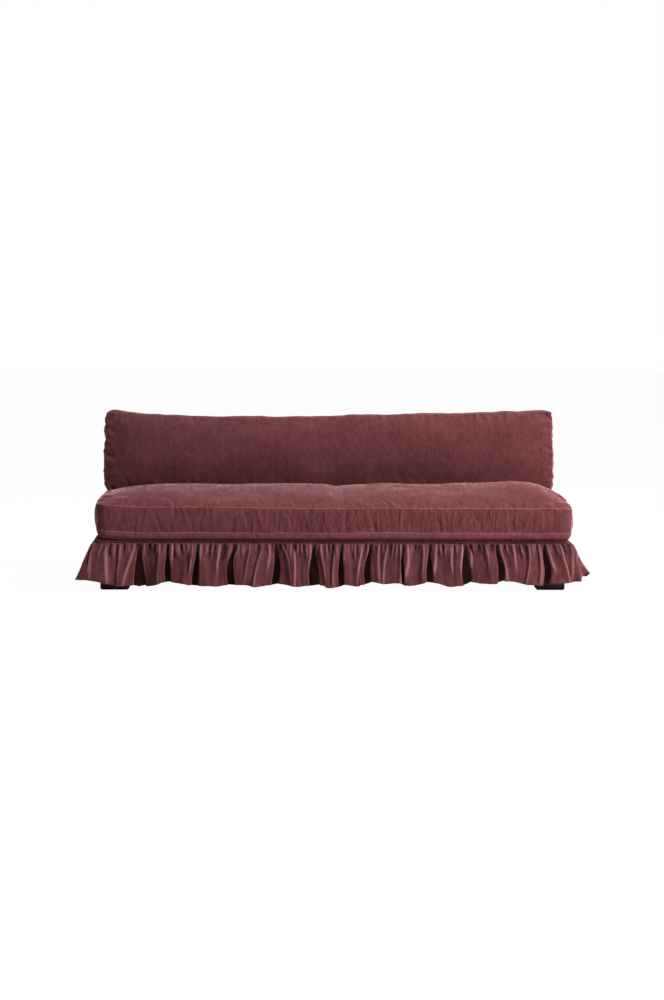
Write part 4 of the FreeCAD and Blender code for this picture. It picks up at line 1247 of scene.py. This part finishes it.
POST_THICK = POST_DEPTH * math.cos(RAKE)
REAR, LEDGE = POST_THICK + 1.0, 229.0
ledge_rise = (LEDGE - RAIL_TOP + REAR * math.sin(RAKE)) / math.cos(RAKE)
rear_path = [
    raked(-14.0, FRAME_TOP + 1.0), raked(REAR - 2.0, FRAME_TOP + 1.0), raked(REAR, FRAME_TOP - 1.0),
    raked(REAR, ledge_rise + 3.0), (raked(REAR, ledge_rise)[0] + 3.0, LEDGE + 0.1),
    (HALF_DEPTH + 3.6, LEDGE + 0.1),
]
outside, outside_length = sheet_strip("outside_back_cloth", rear_path, HALF_WIDTH - 0.4, 1.4, 0.5, 95)
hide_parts("outside_back_cover")

TOP_RISE, FACING_REAR, FACING_FOOT = FRAME_TOP + 2.0, POST_THICK + 2.0, 230.0
FACING_ROWS, FACING_COLUMNS = 56, 12


def facing(name, sign):
    """The flat end of the back: rows of points between its front and rear edges, turned in all round."""
    foot_rise = (FACING_FOOT - RAIL_TOP + POST_THICK * math.sin(RAKE)) / math.cos(RAKE)
    front = [(PAD_FOOT[0], DECK_TOP), PAD_FOOT, raked(BACK_FACE, TOP_RISE)]
    rear = [(HALF_DEPTH + 4.0, DECK_TOP), (HALF_DEPTH + 4.0, FACING_FOOT)]
    rear += [raked(FACING_REAR, foot_rise), raked(FACING_REAR, TOP_RISE)]
    front_top, rear_top = front[-1][1], rear[-1][1]
    f = np.linspace(0, 1, FACING_COLUMNS)
    rows = []
    for z in np.linspace(DECK_TOP + 0.2, front_top - 0.4, FACING_ROWS):
        a, b = (np.interp(z, *np.array(edge).T[::-1]) for edge in (front, rear))
        a += 0.4
        b -= 0.4 + max(0.0, z - rear_top) / math.tan(RAKE)
        rows.append(np.stack([a + (max(b, a + 1.0) - a) * f, np.full(FACING_COLUMNS, z)], 1))
    g = np.linspace(0, 1, FACING_ROWS)[:, None]
    swell = smooth(np.minimum(f, 1 - f) * 6) * smooth(np.minimum(g, 1 - g) * 30)
    x = sign * (HALF_WIDTH + 0.9 + 1.6 * swell)
    grid = np.concatenate([x[..., None], np.array(rows)], -1)
    faces = grid_faces(FACING_ROWS, FACING_COLUMNS)
    if sign < 0:
        faces = [face[::-1] for face in faces]
    obj = make(name, grid.reshape(-1, 3), faces, VELVET, "frame")
    thicken(obj, 0.8)
    return obj


for word, sign in (("left", -1), ("right", 1)):
    obj = facing(f"back_facing_cloth_{word}", sign)
    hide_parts(f"back_facing_{word}")

DUST_INSET, FOOT_ROOM = 6.0, 1.5


def dust_sheet():
    """The cloth under the frame, cut round the feet and sagging a little between its tacks."""
    hx, hy = HALF_WIDTH - DUST_INSET, HALF_DEPTH - DUST_INSET
    feet = []
    for name in nodes:
        if name.startswith("foot_") and name != "foot_pads":
            low, high = (np.array(corner) * 1000 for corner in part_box(name))
            feet.append((low[0] - FOOT_ROOM, high[0] + FOOT_ROOM, low[1] - FOOT_ROOM, high[1] + FOOT_ROOM))
    xs = np.unique(np.round(np.r_[np.linspace(-hx, hx, 90), [v for f in feet for v in f[:2]]], 2))
    ys = np.unique(np.round(np.r_[np.linspace(-hy, hy, 38), [v for f in feet for v in f[2:]]], 2))
    gx, gy = np.meshgrid(xs, ys)
    edge = np.minimum(hx - np.abs(gx), hy - np.abs(gy))
    sag = 4.0 * smooth(edge / 160.0) * (0.6 + 0.4 * rough2(gx, gy, 240.0, 200.0, 97))
    sag += 1.0 * smooth(edge / 30.0) * rough2(gx, gy, 70.0, 70.0, 98)
    for x0, x1, y0, y1 in feet:
        away = np.maximum(np.maximum(x0 - gx, gx - x1), np.maximum(y0 - gy, gy - y1))
        sag *= smooth(away / 60.0)
    points = np.stack([gx, gy, RAIL_BOTTOM - 0.6 - np.maximum(sag, 0)], -1).reshape(-1, 3)
    faces = []
    for face in grid_faces(len(ys), len(xs)):
        cx, cy = points[list(face), :2].mean(0)
        if not any(x0 < cx < x1 and y0 < cy < y1 for x0, x1, y0, y1 in feet):
            faces.append(face)
    return make("dust_cover_cloth", points, faces, LINING, "frame")


dust = dust_sheet()
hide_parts("dust_cover")

# Half of a strap's section, across and through its thickness
STRAP_EDGE = [(-1, -0.3), (-0.97, -1), (-0.6, -0.9), (0, -1), (0.6, -0.9), (0.97, -1), (1, -0.3)]
STRAP_HALF, STRAP_THICK, BAY_EDGE = 29.8, 0.9, 14.0


def straps(name, runs):
    """Flat webbing: each run a start, a length direction, a width direction and a thickness direction."""
    profile = np.array(STRAP_EDGE + [(-a, -b) for a, b in STRAP_EDGE])
    a, b = profile.T[..., None]
    grids = []
    for start, run, wide, thick in np.array(runs, float):
        steps = max(8, int(np.linalg.norm(run) / 40))
        along = np.arange(steps + 1)[:, None, None] / steps
        grids.append(start + along * run + a * wide + b * thick)
    return make_grids(name, grids, WEBBING, "frame", "webbing", wrap=True, caps=True)


def strap_places(span, number):
    """The middles of a number of straps that share a span."""
    step = (span[1] - span[0]) / number
    return [span[0] + step * (i + 0.5) for i in range(number)]


def bay_places(number):
    """The middles of the straps in the three bays between the ends and the stretchers."""
    lines = [-HALF_WIDTH + BAY_EDGE, -HALF_WIDTH / 3, HALF_WIDTH / 3, HALF_WIDTH - BAY_EDGE]
    spans = [(a + BAY_EDGE, b - BAY_EDGE) for a, b in zip(lines, lines[1:])]
    return [x for span in spans for x in strap_places(span, number)]


WIDE_X, WIDE_Y, THICK_Z = (STRAP_HALF, 0, 0), (0, STRAP_HALF, 0), (0, 0, STRAP_THICK)
long_runs = [
    ((x, -HALF_DEPTH + 0.5, 211.0), (0, 2 * HALF_DEPTH - 1, 0), WIDE_X, THICK_Z) for x in bay_places(6)
]
cross_runs = [
    ((-HALF_WIDTH + 0.5, y, 213.0), (2 * HALF_WIDTH - 1, 0, 0), WIDE_Y, THICK_Z)
    for y in strap_places((-HALF_DEPTH + 28.0, DECK_REAR), 6)
]
back_runs = [
    ((x, *raked(-1.0, 35.5)), RISE_AXIS * 462.0, WIDE_X, DEPTH_AXIS * STRAP_THICK) for x in bay_places(4)
]
for piece, node, runs, flat, rail in (
    ("webbing_front_to_rear", "seat_webbing_long", long_runs, (0.87, 1.08), "front_rail"),
    ("webbing_side_to_side", "seat_webbing_cross", cross_runs, (2.08, 0.36), "front_rail"),
    ("webbing_back", "back_webbing", back_runs, (0.463, 0.72), "back_top_rail"),
):
    obj = straps(piece, runs)
    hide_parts(node)

# A zip's half length and the pitch of its teeth; half of its tape's section, across and out
ZIP_HALF, TOOTH_PITCH = 880.0, 2.6
TAPE_EDGE = [(-12, 0.1), (-12, 0.9), (-11, 1.1), (-9.6, 0.7), (-8, 1.1), (-3.4, 1.1), (-3, 0.3)]

# A tooth from its root to its tip, across the zip and half along it, and its section, along and out
TOOTH = ((2.9, 0.75), (0.6, 1.05), (-0.8, 0.55))
TOOTH_SECTION = ((-1, 1.25), (-0.8, 2.95), (0.8, 2.95), (1, 1.25))


def zip_piece(name, middle, across, outward, body):
    """A zip: two woven tapes with a stitched edge and two rows of meshing teeth."""
    middle, across, outward = (np.array(q, float) for q in (middle, across, outward))
    along = np.array((1.0, 0.0, 0.0))
    profile = np.array([*TAPE_EDGE, (0, 0.3), *[(-a, b) for a, b in TAPE_EDGE[::-1]]])
    a, b = profile.T[..., None]
    xs = np.linspace(-ZIP_HALF, ZIP_HALF, 120)[:, None, None]
    grid = middle + xs * along + across * a + outward * b
    tape = make_grids(name + "_tape", [grid], ZIP_TAPE, body, "zip_tape", wrap=True)
    grids = []
    for n in range(int(2 * ZIP_HALF / TOOTH_PITCH)):
        root = middle + along * (-ZIP_HALF + TOOTH_PITCH * (n + 0.5))
        inward = across if n % 2 else -across
        grids.append(np.array([
            [root + along * wide * dx + inward * a + outward * b for dx, b in TOOTH_SECTION]
            for a, wide in TOOTH
        ]))
    teeth = make_grids(
        name + "_teeth", grids, ZIP_METAL, body, "zip_metal", shade=False, wrap=True, caps=True,
    )
    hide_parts(name)


seat_zip_z = (SEAT_LOW + rest_height(SEAT_REAR)) / 2
zip_piece("seat_zip", (0, SEAT_REAR, seat_zip_z), (0, 0, 1), (0, 1, 0), "seat_cushion")
foot_point = np.array(raked(BACK_FACE - CLEAR - BACK_REAR_SEAM, BACK_START + CLEAR))
turn_point = np.array(raked(BACK_FACE - CLEAR, BACK_START + BACK_TURN + CLEAR))
zip_way = (turn_point - foot_point) / np.linalg.norm(turn_point - foot_point)
zip_middle = (foot_point + turn_point) / 2
zip_piece("back_zip", (0, *zip_middle), (0, *zip_way), (0, zip_way[1], -zip_way[0]), "back_cushion")


# Materials on the CAD nodes that stay, by a word in their names; the rest are rails and blocks

STAYING = (
    ("foot_pads", FELT), ("foot_", DARK_WOOD), ("back_post", POST_WOOD), ("slider", ZIP_METAL),
    ("", FRAME_WOOD),
)
for name, obj in nodes.items():
    if not obj.hide_render:
        obj.data.materials.clear()
        obj.data.materials.append(next(look for word, look in STAYING if word in name))


# Floor, light and camera

WHITE, WARM_WHITE = (1.0, 1.0, 1.0), (1.0, 0.985, 0.97)


def floor_material():
    """A pale floor that takes soft shadows and looks almost as white as the light behind it."""
    m = material("studio_floor")
    colour = m.ramp(m.noise(3.0, 2.0), (0.3, (0.90, 0.90, 0.90)), (0.7, (0.93, 0.93, 0.93)))
    diffuse = m.add("BsdfDiffuse", {"Color": colour})
    glow = m.add("Emission", {"Color": WHITE, "Strength": 1.045})
    seen = m.add("LightPath").outputs["Is Camera Ray"]
    return m.surface(m.blend(m.maths("MULTIPLY", seen, 0.93), diffuse, glow))


def studio_world():
    """A weak light all round, seen as plain white."""
    m = Nodes(bpy.data.worlds.new("studio"), "OutputWorld")
    soft = m.add("Background", {"Color": WARM_WHITE, "Strength": 0.105})
    plain = m.add("Background", {"Color": WHITE})
    return m.surface(m.blend(m.add("LightPath").outputs["Is Camera Ray"], soft, plain))


mesh = bpy.data.meshes.new("floor")
mesh.from_pydata([(-30, -20, 0), (30, -20, 0), (30, 60, 0), (-30, 60, 0)], [], [(0, 1, 2, 3)])
floor = bpy.data.objects.new("floor", mesh)
scene.collection.objects.link(floor)
mesh.materials.append(floor_material())
scene.world = studio_world()


def lamp(name, place, target, size, power, colour=WHITE):
    data = bpy.data.lights.new(name, "AREA")
    data.shape = "RECTANGLE"
    data.size, data.size_y = size
    data.energy = power
    data.color = colour
    obj = bpy.data.objects.new(name, data)
    scene.collection.objects.link(obj)
    obj.location = place
    obj.rotation_euler = (Vector(target) - Vector(place)).to_track_quat("-Z", "Y").to_euler()


lamp("key", (4.5, -2.7, 5.2), (0.1, 0.0, 0.4), (1.7, 1.5), 885.0, WARM_WHITE)
lamp("top", (0.3, -0.4, 3.6), (0.0, 0.0, 0.4), (4.0, 1.6), 8.0)
lamp("fill", (-4.2, -5.0, 1.6), (0.0, 0.0, 0.4), (2.4, 2.0), 11.0)

CAMERA_AT = (-0.28, -10.447, 1.14)
yaw, pitch, roll = (math.radians(angle) for angle in (1.562, -4.213, 0.226))
camera_data = bpy.data.cameras.new("camera")
camera = bpy.data.objects.new("camera", camera_data)
scene.collection.objects.link(camera)
ahead = Vector((math.sin(yaw) * math.cos(pitch), math.cos(yaw) * math.cos(pitch), math.sin(pitch)))
right = ahead.cross(Vector((0, 0, 1))).normalized()
up = right.cross(ahead)
right, up = right * math.cos(roll) + up * math.sin(roll), up * math.cos(roll) - right * math.sin(roll)
camera.matrix_world = Matrix.Translation(CAMERA_AT) @ Matrix((right, up, -ahead)).transposed().to_4x4()
camera_data.sensor_width = 36.0
camera_data.lens = 81.8
camera_data.clip_end = 200.0
scene.camera = camera
scene.view_settings.view_transform = "Standard"
